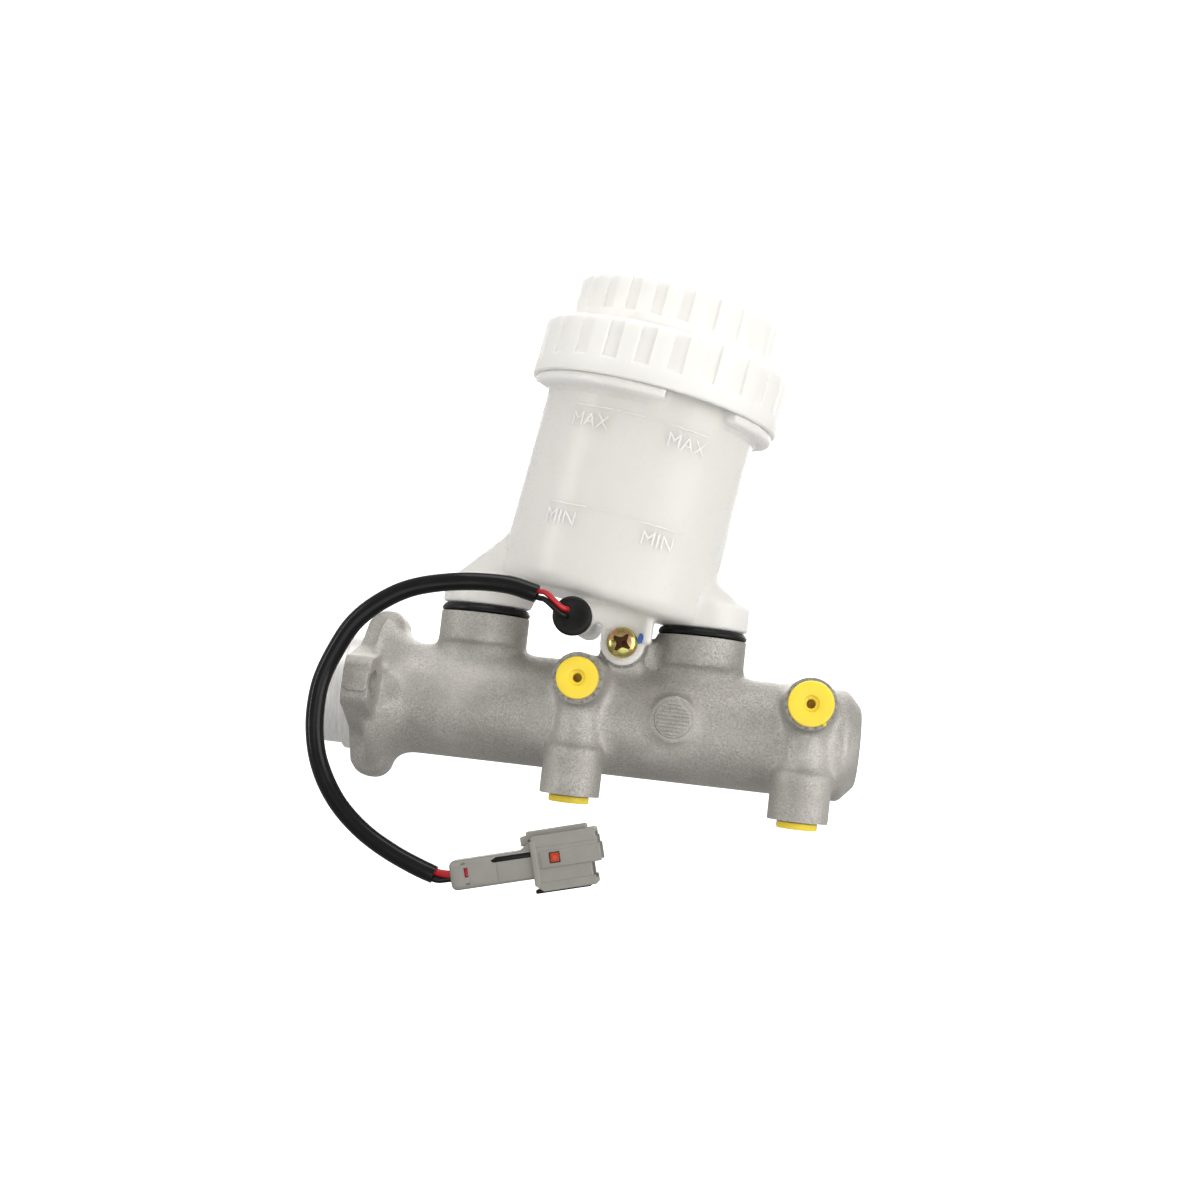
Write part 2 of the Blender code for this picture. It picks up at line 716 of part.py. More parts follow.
def add_cup(name, rear, front, inner):
    """A rubber cup, its lip flaring to the bore at the front."""
    middle = (rear + front) / 2
    profile = [
        (rear, inner),
        (rear, PISTON_RADIUS - 0.0004),
        (middle, PISTON_RADIUS - 0.0006),
        (front, PISTON_RADIUS),
        (front, PISTON_RADIUS - 0.0012),
        (middle, inner + 0.0008),
        (middle, inner),
    ]
    add(name, turned(profile, Vector(), X, 20, ring=True), "black_rubber")


def add_spring(name, start, end, coil_radius, wire_radius, turns):
    path = []
    steps = 10 * turns
    for step in range(steps + 1):
        angle = 2 * math.pi * turns * step / steps
        along = start + (end - start) * step / steps
        path.append(Vector((along, coil_radius * math.sin(angle), coil_radius * math.cos(angle))))
    add_tube(name, path, wire_radius, "spring_steel", 0)


# ---------------------------------------------------------------- ports


def make_ports():
    """A flare seat and a transit plug in each outlet."""
    for station, x in STATIONS.items():
        side = Vector((x, SIDE_PORT_FACE, SIDE_PORT_Z))
        down = Vector((x, DOWN_PORT_Y, DOWN_PORT_FACE))
        for place, face, out in (("side", side, OUTWARD), ("down", down, DOWN)):
            make_flare_seat(f"{station}_{place}_flare_seat", face, out)
            make_plug(f"{station}_{place}_port_plug", face, out)


def make_flare_seat(name, face, out):
    floor = -PORT_DEPTH + GAP
    profile = [
        (floor, 0.0014),
        (floor, PORT_THREAD_RADIUS - GAP),
        (floor + 0.0016, PORT_THREAD_RADIUS - GAP),
        (floor + 0.0038, 0.0022),
        (floor + 0.0038, 0.0014),
    ]
    add(name, turned(profile, face, out, 12, ring=True), "terminal_brass")


def make_plug(name, face, out):
    """A hollow push-in plug: a flat head with a stepped centre hole, and a shank."""
    shank = PORT_THREAD_RADIUS - GAP
    profile = [
        (-0.0085, 0),
        (-0.0085, shank - 0.0006),
        (-0.0078, shank),
        (GAP, shank),
        (GAP, 0.0067),
        (0.0023, 0.0067),
        (0.0026, 0.0064),
        (0.0026, 0.0026),
        (0.0014, 0.0025),
        (0.0014, 0.0015),
        (-0.0060, 0.0015),
        (-0.0060, 0),
    ]
    add(name, turned(profile, face, out, COARSE), "yellow_plastic", origin=face)


# ---------------------------------------------------------------- reservoir


def make_grommets():
    for name, x in INLETS.items():
        at = Vector((x, 0, 0))
        top = LEG_BOTTOM - GAP
        inner = NIPPLE_RADIUS + GAP
        outer = INLET_SOCKET_RADIUS - GAP
        profile = [
            (INLET_SOCKET_FLOOR + GAP, inner),
            (INLET_SOCKET_FLOOR + GAP, outer),
            (INLET_TOP + GAP, outer),
            (INLET_TOP + GAP, INLET_RADIUS - 0.0003),
            (INLET_TOP + 0.0009, INLET_RADIUS),
            (top - 0.0006, INLET_RADIUS),
            (top, INLET_RADIUS - 0.0005),
            (top, inner),
        ]
        add(f"{name}_grommet", turned(profile, at, UP, MEDIUM, ring=True), "black_rubber")


LEGS = {REAR_INLET_X: -1, FRONT_INLET_X: 1}  # each leg's side of the tank, along X


def leg_circles(x, side, shrink=0.0):
    """Level circles of one reservoir leg: a round foot under a shoulder that slopes to the tank."""
    foot = LEG_BOTTOM + shrink
    rise = 0.0408 if side < 0 else 0.0425
    height = 0.0605 if side < 0 else 0.0575
    return [
        (x, 0, foot, INLET_RADIUS - shrink),
        (x, 0, rise, INLET_RADIUS - shrink),
        (x - side * 0.0022, 0, rise + 0.0036, 0.0128 - shrink),
        (x - side * 0.0150, 0, height, 0.0095 - shrink),
    ]


def in_frame(shape, frame_matrix):
    """A shape given in world coordinates, moved into a frame's own coordinates."""
    bmesh.ops.transform(shape, matrix=frame_matrix.inverted(), verts=shape.verts)
    return shape


def tank_outside():
    profile = [
        (RESERVOIR_FLOOR, 0),
        (RESERVOIR_FLOOR, RESERVOIR_RADIUS - 0.0045),
        (RESERVOIR_FLOOR + 0.0013, RESERVOIR_RADIUS - 0.0013),
        (RESERVOIR_FLOOR + 0.0045, RESERVOIR_RADIUS),
        (NECK_TOP, RESERVOIR_RADIUS),
        (NECK_TOP, 0),
    ]
    return turned(profile, Vector(), UP, FINE)


def sensor_tube():
    """The moulded tube under the floor, with a domed rear end."""
    length = SENSOR_REAR - SENSOR_FRONT
    profile = [
        (0, 0),
        (0, SENSOR_RADIUS),
        (length - 0.004, SENSOR_RADIUS),
        (length - 0.0012, SENSOR_RADIUS * 0.72),
        (length, 0),
    ]
    return turned(profile, Vector((SENSOR_X, SENSOR_FRONT, SENSOR_Z)), Y, 24)


TAB_HALF_WIDTH = 0.0075
TAB_REAR, TAB_FRONT = SCREW_LUG_FRONT - GAP, SCREW_LUG_FRONT - 0.0035


def tab_shapes():
    """The screw tab with its round lower end, a gusset to the sensor tube, and a rib."""
    yield rod(Vector((SCREW_X, TAB_REAR, SCREW_Z)), Vector((SCREW_X, TAB_FRONT, SCREW_Z)), TAB_HALF_WIDTH, MEDIUM)
    low = (SCREW_X - TAB_HALF_WIDTH, TAB_FRONT, SCREW_Z)
    yield block(low, (SCREW_X + TAB_HALF_WIDTH, TAB_REAR, 0.0395))
    yield block((SENSOR_X, TAB_FRONT, SENSOR_Z + 0.0002), (SCREW_X, TAB_REAR, 0.0405))
    rib_low = (SCREW_X + TAB_HALF_WIDTH - 0.0004, -0.018, 0.0262)
    yield block(rib_low, (SCREW_X + TAB_HALF_WIDTH + 0.0022, TAB_REAR - 0.0002, 0.0395))


def neck_lugs():
    """Bayonet lugs inside the cap's skirt, each with a wider foot just under the skirt's edge."""
    for number in range(LUG_COUNT):
        start = NECK_LUG_END - NECK_LUG_SPAN + 2 * math.pi * number / LUG_COUNT
        inner = RESERVOIR_RADIUS - 0.001
        yield arc_band(inner, NECK_LUG_RADIUS, NECK_LUG_LOW, NECK_LUG_HIGH, start, NECK_LUG_SPAN)
        inner, low, high = NECK_LUG_RADIUS - 0.0012, NECK_LUG_LOW + 0.0003, CAP_RIM - GAP
        yield arc_band(inner, NECK_FOOT_RADIUS, low, high, start + 0.008, NECK_LUG_SPAN - 0.016)


def guide_ribs():
    """Three upright ribs round the float, on the tank's floor."""
    low = (FLOAT_RADIUS + 0.0006, -0.0008, RESERVOIR_FLOOR + 0.001)
    for number in range(3):
        rib = block(low, (FLOAT_RADIUS + 0.003, 0.0008, 0.038))
        turn = Matrix.Rotation(math.radians(60 + 120 * number), 3, "Z")
        bmesh.ops.rotate(rib, cent=(0, 0, 0), matrix=turn, verts=rib.verts)
        bmesh.ops.translate(rib, vec=X * FLOAT_X, verts=rib.verts)
        yield rib


def leg_shapes():
    """Each leg with its nipple, and the web that carries the sensor tube."""
    for x, side in LEGS.items():
        yield hull(leg_circles(x, side))
        yield rod(Vector((x, 0, NIPPLE_BOTTOM)), Vector((x, 0, 0.036)), NIPPLE_RADIUS, 24)
    yield sensor_tube()
    yield block((SENSOR_X - 0.0022, -0.026, SENSOR_Z), (SENSOR_X + 0.0022, 0.026, 0.0415))


def reservoir_cuts():
    """Inside the legs, through the nipples, the sensor's bore and the screw's hole."""
    for x, side in LEGS.items():
        yield hull(leg_circles(x, side, WALL))
        yield rod(Vector((x, 0, NIPPLE_BOTTOM - 0.001)), Vector((x, 0, 0.040)), NIPPLE_BORE, 24)
    sensor_start = Vector((SENSOR_X, SENSOR_FRONT - 0.001, SENSOR_Z))
    sensor_end = Vector((SENSOR_X, SENSOR_REAR - 0.004, SENSOR_Z))
    yield rod(sensor_start, sensor_end, SENSOR_BORE, 16)
    hole_start = Vector((SCREW_X, TAB_REAR + 0.001, SCREW_Z))
    hole_end = Vector((SCREW_X, TAB_FRONT - 0.001, SCREW_Z))
    yield rod(hole_start, hole_end, 0.0028, 16)


def make_reservoir(frame, to_world):
    tank = add("reservoir", tank_outside(), "milky_plastic", frame)
    under_leg = block((0.096, -0.030, 0.026), (0.130, 0.030, LEG_BOTTOM))
    cut(tank, in_frame(under_leg, to_world))
    outside = [in_frame(shape, to_world) for shape in [*leg_shapes(), *tab_shapes()]]
    join(tank, *outside, *neck_lugs())
    hollow = rod(UP * (RESERVOIR_FLOOR + WALL), UP * (NECK_TOP + 0.002), RESERVOIR_RADIUS - WALL, FINE)
    cut(tank, hollow, *[in_frame(shape, to_world) for shape in reservoir_cuts()])
    join(tank, *guide_ribs())


def make_reservoir_screw():
    """Pan-head screw with a cross recess."""
    seat = TAB_FRONT - GAP
    at = Vector((SCREW_X, seat, SCREW_Z))
    profile = [
        (-0.0130, 0),
        (-0.0130, 0.0021),
        (0, 0.0021),
        (0, 0.0052),
        (0.0012, 0.0052),
        (0.0024, 0.0042),
        (0.0030, 0.0024),
        (0.0031, 0),
    ]
    screw = add("reservoir_screw", turned(profile, at, OUTWARD, MEDIUM), "zinc_gold")
    arm, thick, deep = 0.0027, 0.0006, 0.0018
    slots = []
    for across, upright in ((arm, thick), (thick, arm)):
        low = (SCREW_X - across, seat - 0.005, SCREW_Z - upright)
        slots.append(block(low, (SCREW_X + across, seat - 0.0031 + deep, SCREW_Z + upright)))
    cut(screw, *slots)


def make_sensor():
    """Reed switch in the tube, and the rubber boot on the tube's front end."""
    switch = rod(
        Vector((SENSOR_X, SENSOR_FRONT + 0.001, SENSOR_Z)),
        Vector((SENSOR_X, 0.022, SENSOR_Z)),
        SENSOR_BORE - 2 * GAP,
        16,
    )
    add("reed_switch", switch, "white_plastic")
    rear = 0.0070
    pocket = SENSOR_FRONT - GAP - BOOT_FACE
    profile = [
        (0, 0),
        (0, BOOT_RADIUS - 0.0008),
        (0.0008, BOOT_RADIUS),
        (0.0024, BOOT_RADIUS),
        (0.0030, BOOT_RADIUS - 0.0005),
        (rear, BOOT_RADIUS - 0.0005),
        (rear, SENSOR_RADIUS + GAP),
        (pocket, SENSOR_RADIUS + GAP),
        (pocket, 0),
    ]
    boot = turned(profile, Vector((SENSOR_X, BOOT_FACE, SENSOR_Z)), Y, MEDIUM)
    add("sensor_boot", boot, "black_rubber")


def make_float(frame):
    """Foam float with a disc magnet in its underside."""
    at = Vector((FLOAT_X, 0, 0))
    pocket = FLOAT_BOTTOM + MAGNET_HEIGHT + 0.0008
    profile = [
        (pocket, 0),
        (pocket, MAGNET_RADIUS + GAP),
        (FLOAT_BOTTOM, MAGNET_RADIUS + GAP),
        (FLOAT_BOTTOM, FLOAT_RADIUS - 0.001),
        (FLOAT_BOTTOM + 0.001, FLOAT_RADIUS),
        (FLOAT_TOP - 0.001, FLOAT_RADIUS),
        (FLOAT_TOP, FLOAT_RADIUS - 0.001),
        (FLOAT_TOP, 0),
    ]
    add("float", turned(profile, at, UP, MEDIUM), "float_foam", frame, origin=at)
    magnet = rod(at + UP * (FLOAT_BOTTOM + 0.0002), at + UP * (pocket - GAP), MAGNET_RADIUS, 20)
    add("float_magnet", magnet, "magnet", frame, origin=at)


# ---------------------------------------------------------------- cap


def grip_cutter(radius, low, high):
    """One shallow upright recess at +X, open at the top."""
    half_width = radius * math.pi / CAP_GRIPS / 2
    return lambda: block((radius - GRIP_DEPTH, -half_width, low), (radius + 0.004, half_width, high))


def make_cap(frame):
    deck = CAP_SHOULDER - CAP_WALL
    inside, crown_inside = CAP_RADIUS - CAP_WALL, CAP_CROWN_RADIUS - CAP_WALL
    profile = [
        (CAP_TOP - CAP_WALL, 0),
        (CAP_TOP - CAP_WALL, crown_inside),
        (deck, crown_inside),
        (deck, inside),
        (CAP_RIM, inside),
        (CAP_RIM, CAP_RADIUS - 0.0005),
        (CAP_RIM + 0.0005, CAP_RADIUS),
        (CAP_SHOULDER - 0.002, CAP_RADIUS),
        (CAP_SHOULDER - 0.0006, CAP_RADIUS - 0.0006),
        (CAP_SHOULDER, CAP_RADIUS - 0.002),
        (CAP_SHOULDER, CAP_CROWN_RADIUS + 0.002),
        (CAP_SHOULDER + 0.0006, CAP_CROWN_RADIUS + 0.0006),
        (CAP_SHOULDER + 0.002, CAP_CROWN_RADIUS),
        (CAP_TOP - 0.0015, CAP_CROWN_RADIUS),
        (CAP_TOP, CAP_CROWN_RADIUS - 0.0015),
        (CAP_TOP, 0),
    ]
    cap = add("cap", turned(profile, Vector(), UP, FINE), "white_plastic", frame)
    low_grips = grip_cutter(CAP_RADIUS, CAP_RIM + RIM_BAND, CAP_SHOULDER + 0.001)
    cut(cap, repeated(low_grips, CAP_GRIPS, RIM_GRIP_TURN))
    high_grips = grip_cutter(CAP_CROWN_RADIUS, CAP_SHOULDER + CROWN_BAND, CAP_TOP + 0.001)
    cut(cap, repeated(high_grips, CAP_GRIPS, CROWN_GRIP_TURN))


def make_cap_seal(frame):
    """Rubber diaphragm: a flat rim on the neck and a dished middle that follows the fluid."""
    rim = NECK_TOP + GAP
    profile = [
        (rim - 0.0060, 0),
        (rim - 0.0060, 0.0240),
        (rim, 0.0305),
        (rim, SEAL_RADIUS),
        (rim + 0.0020, SEAL_RADIUS),
        (rim + 0.0020, 0.0300),
        (rim - 0.0044, 0.0230),
        (rim - 0.0044, 0),
    ]
    add("cap_seal", turned(profile, Vector(), UP, MEDIUM), "black_rubber", frame)


# ---------------------------------------------------------------- pigtail lead


def make_lead():
    route = [Vector((x, LEAD_Y, z)) for x, z in SLEEVE_ROUTE]
    add_tube("harness_sleeve", smooth_path(route, 0.0075), SLEEVE_RADIUS, "black_sleeve", 2)
    start, end = route[0], route[-1]
    leaving = (start - route[1]).normalized()
    arriving = (end - route[-2]).normalized()
    boot = Vector((SENSOR_X - 0.0018, BOOT_FACE - GAP - 0.0002, SENSOR_Z + 0.0008))
    for name, shift, paint in (("red", 0.0011, "red_wire"), ("black", -0.0011, "black_sleeve")):
        offset = UP * shift
        near = [
            start + leaving * 2 * GAP + offset,
            start + leaving * 0.0030 + offset,
            boot - X * 0.0018 - Y * 0.0024 + offset + Z * 0.0005,
            boot - Y * 0.0008 + offset,
            boot + offset,
        ]
        add_tube(f"{name}_wire_at_sensor", smooth_path(near, 0.0018), WIRE_RADIUS, paint, 2)
        rear = CONNECTOR_AT + offset - X * (GAP + 0.0003)
        far = [
            end + arriving * 2 * GAP + offset,
            end.lerp(rear, 0.5) + offset / 2 - Z * 0.0003,
            rear,
        ]
        add_tube(f"{name}_wire_at_connector", smooth_path(far, 0.0018), WIRE_RADIUS, paint, 2)


def make_connector():
    frame = add_frame("connector_axis", CONNECTOR_AT, Euler((0, -CONNECTOR_RISE, 0)))
    tail_end, front = CONNECTOR_TAIL, CONNECTOR_LENGTH
    tail = rounded_block((0, -0.0050, -0.0047), (tail_end, 0.0050, 0.0047), 0.0020, 0)
    hood = rounded_block((tail_end - 0.001, -0.0062, -0.0088), (front, 0.0062, 0.0088), 0.0012, 0)
    latch = block((tail_end - 0.006, -0.0030, 0.0060), (front - 0.001, 0.0030, 0.0102))
    socket = block((front - 0.0140, -0.0048, -0.0072), (front + 0.001, 0.0048, 0.0072))
    window = block((tail_end + 0.0050, -0.0080, -0.0005), (tail_end + 0.0085, -0.0045, 0.0030))
    hollows = [socket, window]
    for name, z in (("upper", 0.0022), ("lower", -0.0022)):
        hollows.append(rod(Vector((0.0040, 0, z)), Vector((front - 0.013, 0, z)), 0.0012, 12))
        hollows.append(rod(Vector((-0.001, 0, z)), Vector((0.0045, 0, z)), 0.0018, 12))
        blade = block((front - 0.0260, -0.0006, z - 0.0006), (front - 0.0070, 0.0006, z + 0.0006))
        add(f"{name}_terminal", blade, "terminal_brass", frame)
        profile = [(0.0006, 0.0008), (0.0006, 0.0015), (0.0040, 0.0015), (0.0040, 0.0008)]
        seal = turned(profile, Vector((0, 0, z)), X, 10, ring=True)
        add(f"{name}_wire_seal", seal, "red_wire" if z > 0 else "black_rubber", frame)
    housing = add("connector_housing", tail, "grey_plastic", frame)
    join(housing, hood, latch)
    cut(housing, *hollows)
    lock_low = (tail_end + 0.0053, -0.0056, -0.0002)
    lock = block(lock_low, (tail_end + 0.0082, -0.0048, 0.0027))
    add("connector_lock", lock, "orange_plastic", frame)


# ---------------------------------------------------------------- assembly


def main():
    clear_scene()
    make_body()
    make_mouth_rings()
    make_primary_piston()
    make_secondary_piston()
    make_ports()
    make_grommets()
    lean = Euler((0, LEAN, 0))
    frame = add_frame("reservoir_axis", RESERVOIR_FOOT, lean)
    to_world = Matrix.Translation(RESERVOIR_FOOT) @ lean.to_matrix().to_4x4()
    make_reservoir(frame, to_world)
    make_reservoir_screw()
    make_sensor()
    make_float(frame)
    make_cap_seal(frame)
    make_cap(frame)
    make_lead()
    make_connector()


main()
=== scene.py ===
"""Looks of the tandem brake master cylinder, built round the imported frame.

Metres, +Z up, +X along the bore from the flange to the nose. Every piece is made here from
curves and meshes and rides on a body of the frame.
"""

import json
from math import cos, hypot, pi, radians, sin

import bmesh
import bpy
import numpy as np
from mathutils import Matrix, Vector, noise
from mathutils.bvhtree import BVHTree

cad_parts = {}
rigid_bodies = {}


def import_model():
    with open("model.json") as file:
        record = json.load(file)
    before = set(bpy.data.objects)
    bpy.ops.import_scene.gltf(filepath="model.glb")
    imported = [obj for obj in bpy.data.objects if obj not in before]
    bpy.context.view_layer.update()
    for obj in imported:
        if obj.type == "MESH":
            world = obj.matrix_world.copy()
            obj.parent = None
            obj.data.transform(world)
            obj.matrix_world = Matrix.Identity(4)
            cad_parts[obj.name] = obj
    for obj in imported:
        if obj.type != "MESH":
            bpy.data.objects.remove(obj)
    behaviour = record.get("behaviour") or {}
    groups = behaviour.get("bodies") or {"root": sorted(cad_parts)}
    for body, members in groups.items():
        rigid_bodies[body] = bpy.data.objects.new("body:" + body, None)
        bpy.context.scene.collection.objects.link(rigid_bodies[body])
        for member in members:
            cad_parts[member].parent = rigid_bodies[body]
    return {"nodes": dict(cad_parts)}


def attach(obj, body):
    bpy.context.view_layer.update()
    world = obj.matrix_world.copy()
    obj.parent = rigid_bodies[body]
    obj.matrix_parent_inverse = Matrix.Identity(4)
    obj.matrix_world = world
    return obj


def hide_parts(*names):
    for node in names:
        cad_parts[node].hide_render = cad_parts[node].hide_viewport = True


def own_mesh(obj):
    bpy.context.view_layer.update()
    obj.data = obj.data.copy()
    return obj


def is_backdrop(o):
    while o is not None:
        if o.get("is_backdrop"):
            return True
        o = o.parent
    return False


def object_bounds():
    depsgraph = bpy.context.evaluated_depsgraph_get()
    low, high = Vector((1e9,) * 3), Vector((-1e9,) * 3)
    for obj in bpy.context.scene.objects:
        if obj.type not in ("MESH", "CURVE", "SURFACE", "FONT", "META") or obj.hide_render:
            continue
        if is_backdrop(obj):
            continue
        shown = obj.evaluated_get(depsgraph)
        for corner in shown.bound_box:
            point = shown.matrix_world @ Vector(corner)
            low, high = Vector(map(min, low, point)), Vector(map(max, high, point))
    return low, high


ORIGIN, X, Y, Z = Vector((0, 0, 0)), Vector((1, 0, 0)), Vector((0, 1, 0)), Vector((0, 0, 1))
UP, DOWN, OUTWARD = Z, -Z, -Y
GAP = 0.0003

# Casting
BORE_RADIUS = 0.0127
BARREL_RADIUS = 0.0187
BODY_REAR, BODY_LENGTH = -0.012, 0.1695
SPIGOT_RADIUS, SPIGOT_STEP_RADIUS, SPIGOT_STEP = 0.0182, 0.0198, 0.004
MOUTH_RADIUS, MOUTH_DEPTH = 0.0146, 0.0045
RING_GROOVE_RADIUS, RING_GROOVE_REAR, RING_GROOVE_FRONT = 0.0155, -0.0112, -0.0096
BORE_END = 0.158
FLANGE_TWIST = radians(6)
LUG_THICKNESS, LUG_TIP, LUG_HALF_HEIGHT = 0.009, 0.0355, 0.0088
BOLT_OFFSET, BOLT_HOLE_RADIUS, SPOT_FACE_RADIUS = 0.0275, 0.0045, 0.0082
EAR_THICKNESS, EAR_TIP, EAR_HALF_WIDTH = 0.0125, 0.0285, 0.0105
LUG_PAD, LUG_PAD_HEIGHT = 0.0078, 0.0008
INLETS = (0.039, 0.1136)
INLET_TOP, INLET_RADIUS, INLET_BASE_RADIUS = 0.0308, 0.015, 0.0158
INLET_COLLAR_Z, INLET_NECK_SHARE = 0.0208, 0.87
INLET_SOCKET_RADIUS, INLET_SOCKET_FLOOR = 0.0115, 0.022
STATIONS = {"primary": 0.076, "secondary": 0.1513}
SIDE_PORT_Z, SIDE_PORT_FACE, SIDE_PORT_RADIUS = 0.0122, -0.032, 0.0085
COLLAR_RADIUS, COLLAR_Z, COLLAR_FRONT = 0.0118, 0.0066, -0.020
DOWN_PORT_Y, DOWN_PORT_FACE, DOWN_PORT_RADIUS = -0.016, -0.026, 0.0100
DOWN_NECK_RADIUS, DOWN_NECK_BOTTOM = 0.0079, -0.009
PORT_THREAD_RADIUS, PORT_DEPTH = 0.0044, 0.0145
SCREW_X, SCREW_Z = 0.0878, 0.0258
SCREW_LUG_RADIUS, SCREW_LUG_FRONT, SCREW_WEB_TOP = 0.0078, -0.0110, 0.0280
PAD_X, PAD_Z, PAD_RADIUS = 0.1076, 0.0024, 0.0079
# feed and intake drillings: X, radius
DRILLINGS = ((0.0395, 0.0009), (0.0305, 0.0018), (0.1150, 0.0009), (0.1040, 0.0023))

# Reservoir and cap, on an axis that leans towards the nose
RESERVOIR_FOOT = Vector((0.0768, 0, 0.033))
LEANING = Matrix.Translation(RESERVOIR_FOOT) @ Matrix.Rotation(radians(8.75), 4, "Y")
WALL = 0.0022
RESERVOIR_RADIUS, RESERVOIR_FLOOR, NECK_TOP = 0.0364, 0.0055, 0.0902
LEG_BOTTOM = 0.034
NIPPLE_RADIUS, NIPPLE_BORE, NIPPLE_BOTTOM = 0.009, 0.006, 0.0235
NECK_LUG_ROOT, NECK_FOOT_RADIUS = 0.034, 0.0420
NECK_LUG_RADIUS, NECK_LUG_LOW, NECK_LUG_HIGH = 0.0396, 0.0728, 0.0775
NECK_LUG_SPAN, NECK_LUG_END = radians(84), radians(9.2)
TAB_HALF_WIDTH = 0.0075
TAB_REAR, TAB_FRONT = SCREW_LUG_FRONT - GAP, SCREW_LUG_FRONT - 0.0035
SENSOR_X, SENSOR_Z, SENSOR_FRONT, SENSOR_REAR = 0.0725, 0.0316, -0.035, 0.032
SENSOR_RADIUS, SENSOR_BORE = 0.0045, 0.0028
BOOT_RADIUS, BOOT_FACE, BOOT_LENGTH = 0.0064, -0.0386, 0.0070
CAP_RIM, CAP_SHOULDER, CAP_TOP = 0.076, 0.0954, 0.112
CAP_RADIUS, CAP_CROWN_RADIUS, CAP_WALL = 0.043, 0.0352, 0.0024
CAP_GRIPS, GRIP_DEPTH, RIM_BAND, CROWN_BAND = 24, 0.0009, 0.0055, 0.0045
CAP_ROUNDED = 0.0021
RIM_GRIP_TURN, CROWN_GRIP_TURN = radians(10), radians(8)

# Lead
LEAD_Y = -0.043
SLEEVE_RADIUS, WIRE_RADIUS = 0.0030, 0.0008
SLEEVE_ROUTE = [
    (0.0612, 0.0371), (0.0507, 0.0391), (0.0365, 0.0385), (0.0222, 0.0353), (0.0120, 0.0298),
    (0.0038, 0.0220), (-0.0014, 0.0122), (-0.0048, 0.0020), (-0.0055, -0.0080), (-0.0044, -0.0170),
    (-0.0019, -0.0247), (0.0025, -0.0324), (0.0081, -0.0388), (0.0158, -0.0448), (0.0246, -0.0495),
    (0.0328, -0.0528), (0.0390, -0.0548),
]
CONNECTOR_AT = Vector((0.0446, LEAD_Y, -0.0544))
RISING = Matrix.Translation(CONNECTOR_AT) @ Matrix.Rotation(radians(-15.2), 4, "Y")
CONNECTOR_TAIL, CONNECTOR_LENGTH = 0.027, 0.0485


# ---------------------------------------------------------------- shapes


def around(sides):
    """Equal angles once round."""
    return [2 * pi * step / sides for step in range(sides)]


def skinned(shape, rows, ring=False):
    """Faces between neighbouring rows of points, each row closed; a row of one point is a tip."""
    pairs = list(zip(rows, rows[1:]))
    if ring:
        pairs.append((rows[-1], rows[0]))
    for low, high in pairs:
        sides = max(len(low), len(high))
        for step in range(sides):
            following = (step + 1) % sides
            corners = [low[step % len(low)], low[following % len(low)]]
            corners += [high[following % len(high)], high[step % len(high)]]
            shape.faces.new(list(dict.fromkeys(corners)))


def sealed(shape):
    """The shape with its faces turned outward."""
    bmesh.ops.recalc_face_normals(shape, faces=shape.faces)
    return shape


def bevelled(shape, edges, offset, segments):
    bmesh.ops.bevel(shape, geom=edges, offset=offset, segments=segments, affect="EDGES", profile=0.5)


def turned(profile, at, along, sides=96, ring=False):
    """A turned shape from (distance along the axis, radius); a ring's profile is a loop."""
    at, shape = Vector(at), bmesh.new()
    turn = Z.rotation_difference(along).to_matrix()
    rows = []
    for height, radius in profile:
        row = []
        for angle in around(sides if radius > 0 else 1):
            local = Vector((radius * cos(angle), radius * sin(angle), height))
            row.append(shape.verts.new(at + turn @ local))
        rows.append(row)
    skinned(shape, rows, ring)
    return sealed(shape)


def rod(start, end, radius, sides=64, end_radius=None):
    """A round bar between two points, straight or tapered."""
    start, end = Vector(start), Vector(end)
    length = (end - start).length
    last = radius if end_radius is None else end_radius
    profile = [(0, 0), (0, radius), (length, last), (length, 0)]
    return turned(profile, start, (end - start).normalized(), sides)


def block(low, high, bevel=0.0, segments=3):
    """A box between two opposite corners, with rounded edges."""
    low, high = Vector(low), Vector(high)
    shape = bmesh.new()
    bmesh.ops.create_cube(shape, size=1)
    bmesh.ops.scale(shape, vec=high - low, verts=shape.verts)
    bmesh.ops.translate(shape, vec=(low + high) / 2, verts=shape.verts)
    if bevel:
        bevelled(shape, list(shape.edges), bevel, segments)
    return shape


def convex(shape):
    """The convex skin round a shape's points."""
    found = bmesh.ops.convex_hull(shape, input=shape.verts)
    inside = [v for v in found["geom_interior"] if isinstance(v, bmesh.types.BMVert)]
    bmesh.ops.delete(shape, geom=inside, context="VERTS")
    return sealed(shape)


def hull(circles, sides=64):
    """The convex shape around level circles, each (x, y, z, radius)."""
    shape = bmesh.new()
    for x, y, z, radius in circles:
        for angle in around(sides):
            shape.verts.new((x + radius * cos(angle), y + radius * sin(angle), z))
    return convex(shape)


def plate(outline, near, far, axis=0):
    """A plate across an axis: outline lists the two other coordinates in order."""
    shape = bmesh.new()

    def corner(depth, point):
        values = list(point)
        values.insert(axis, depth)
        return shape.verts.new(values)

    rear = [corner(near, point) for point in outline]
    front = [corner(far, point) for point in outline]
    shape.faces.new(rear)
    shape.faces.new(front)
    skinned(shape, [rear, front])
    return sealed(shape)


def arc_band(inner, outer, low, high, start, span, steps=40):
    """Part of a ring round Z, from the angle start through span, measured from -Y towards +X."""
    shape = bmesh.new()
    loops = []
    for step in range(steps + 1):
        angle = start + span * step / steps
        out = Vector((sin(angle), -cos(angle), 0))
        corners = [(inner, low), (outer, low), (outer, high), (inner, high)]
        loops.append([shape.verts.new(out * radius + Z * height) for radius, height in corners])
    skinned(shape, loops)
    shape.faces.new(loops[0])
    shape.faces.new(loops[-1])
    return sealed(shape)


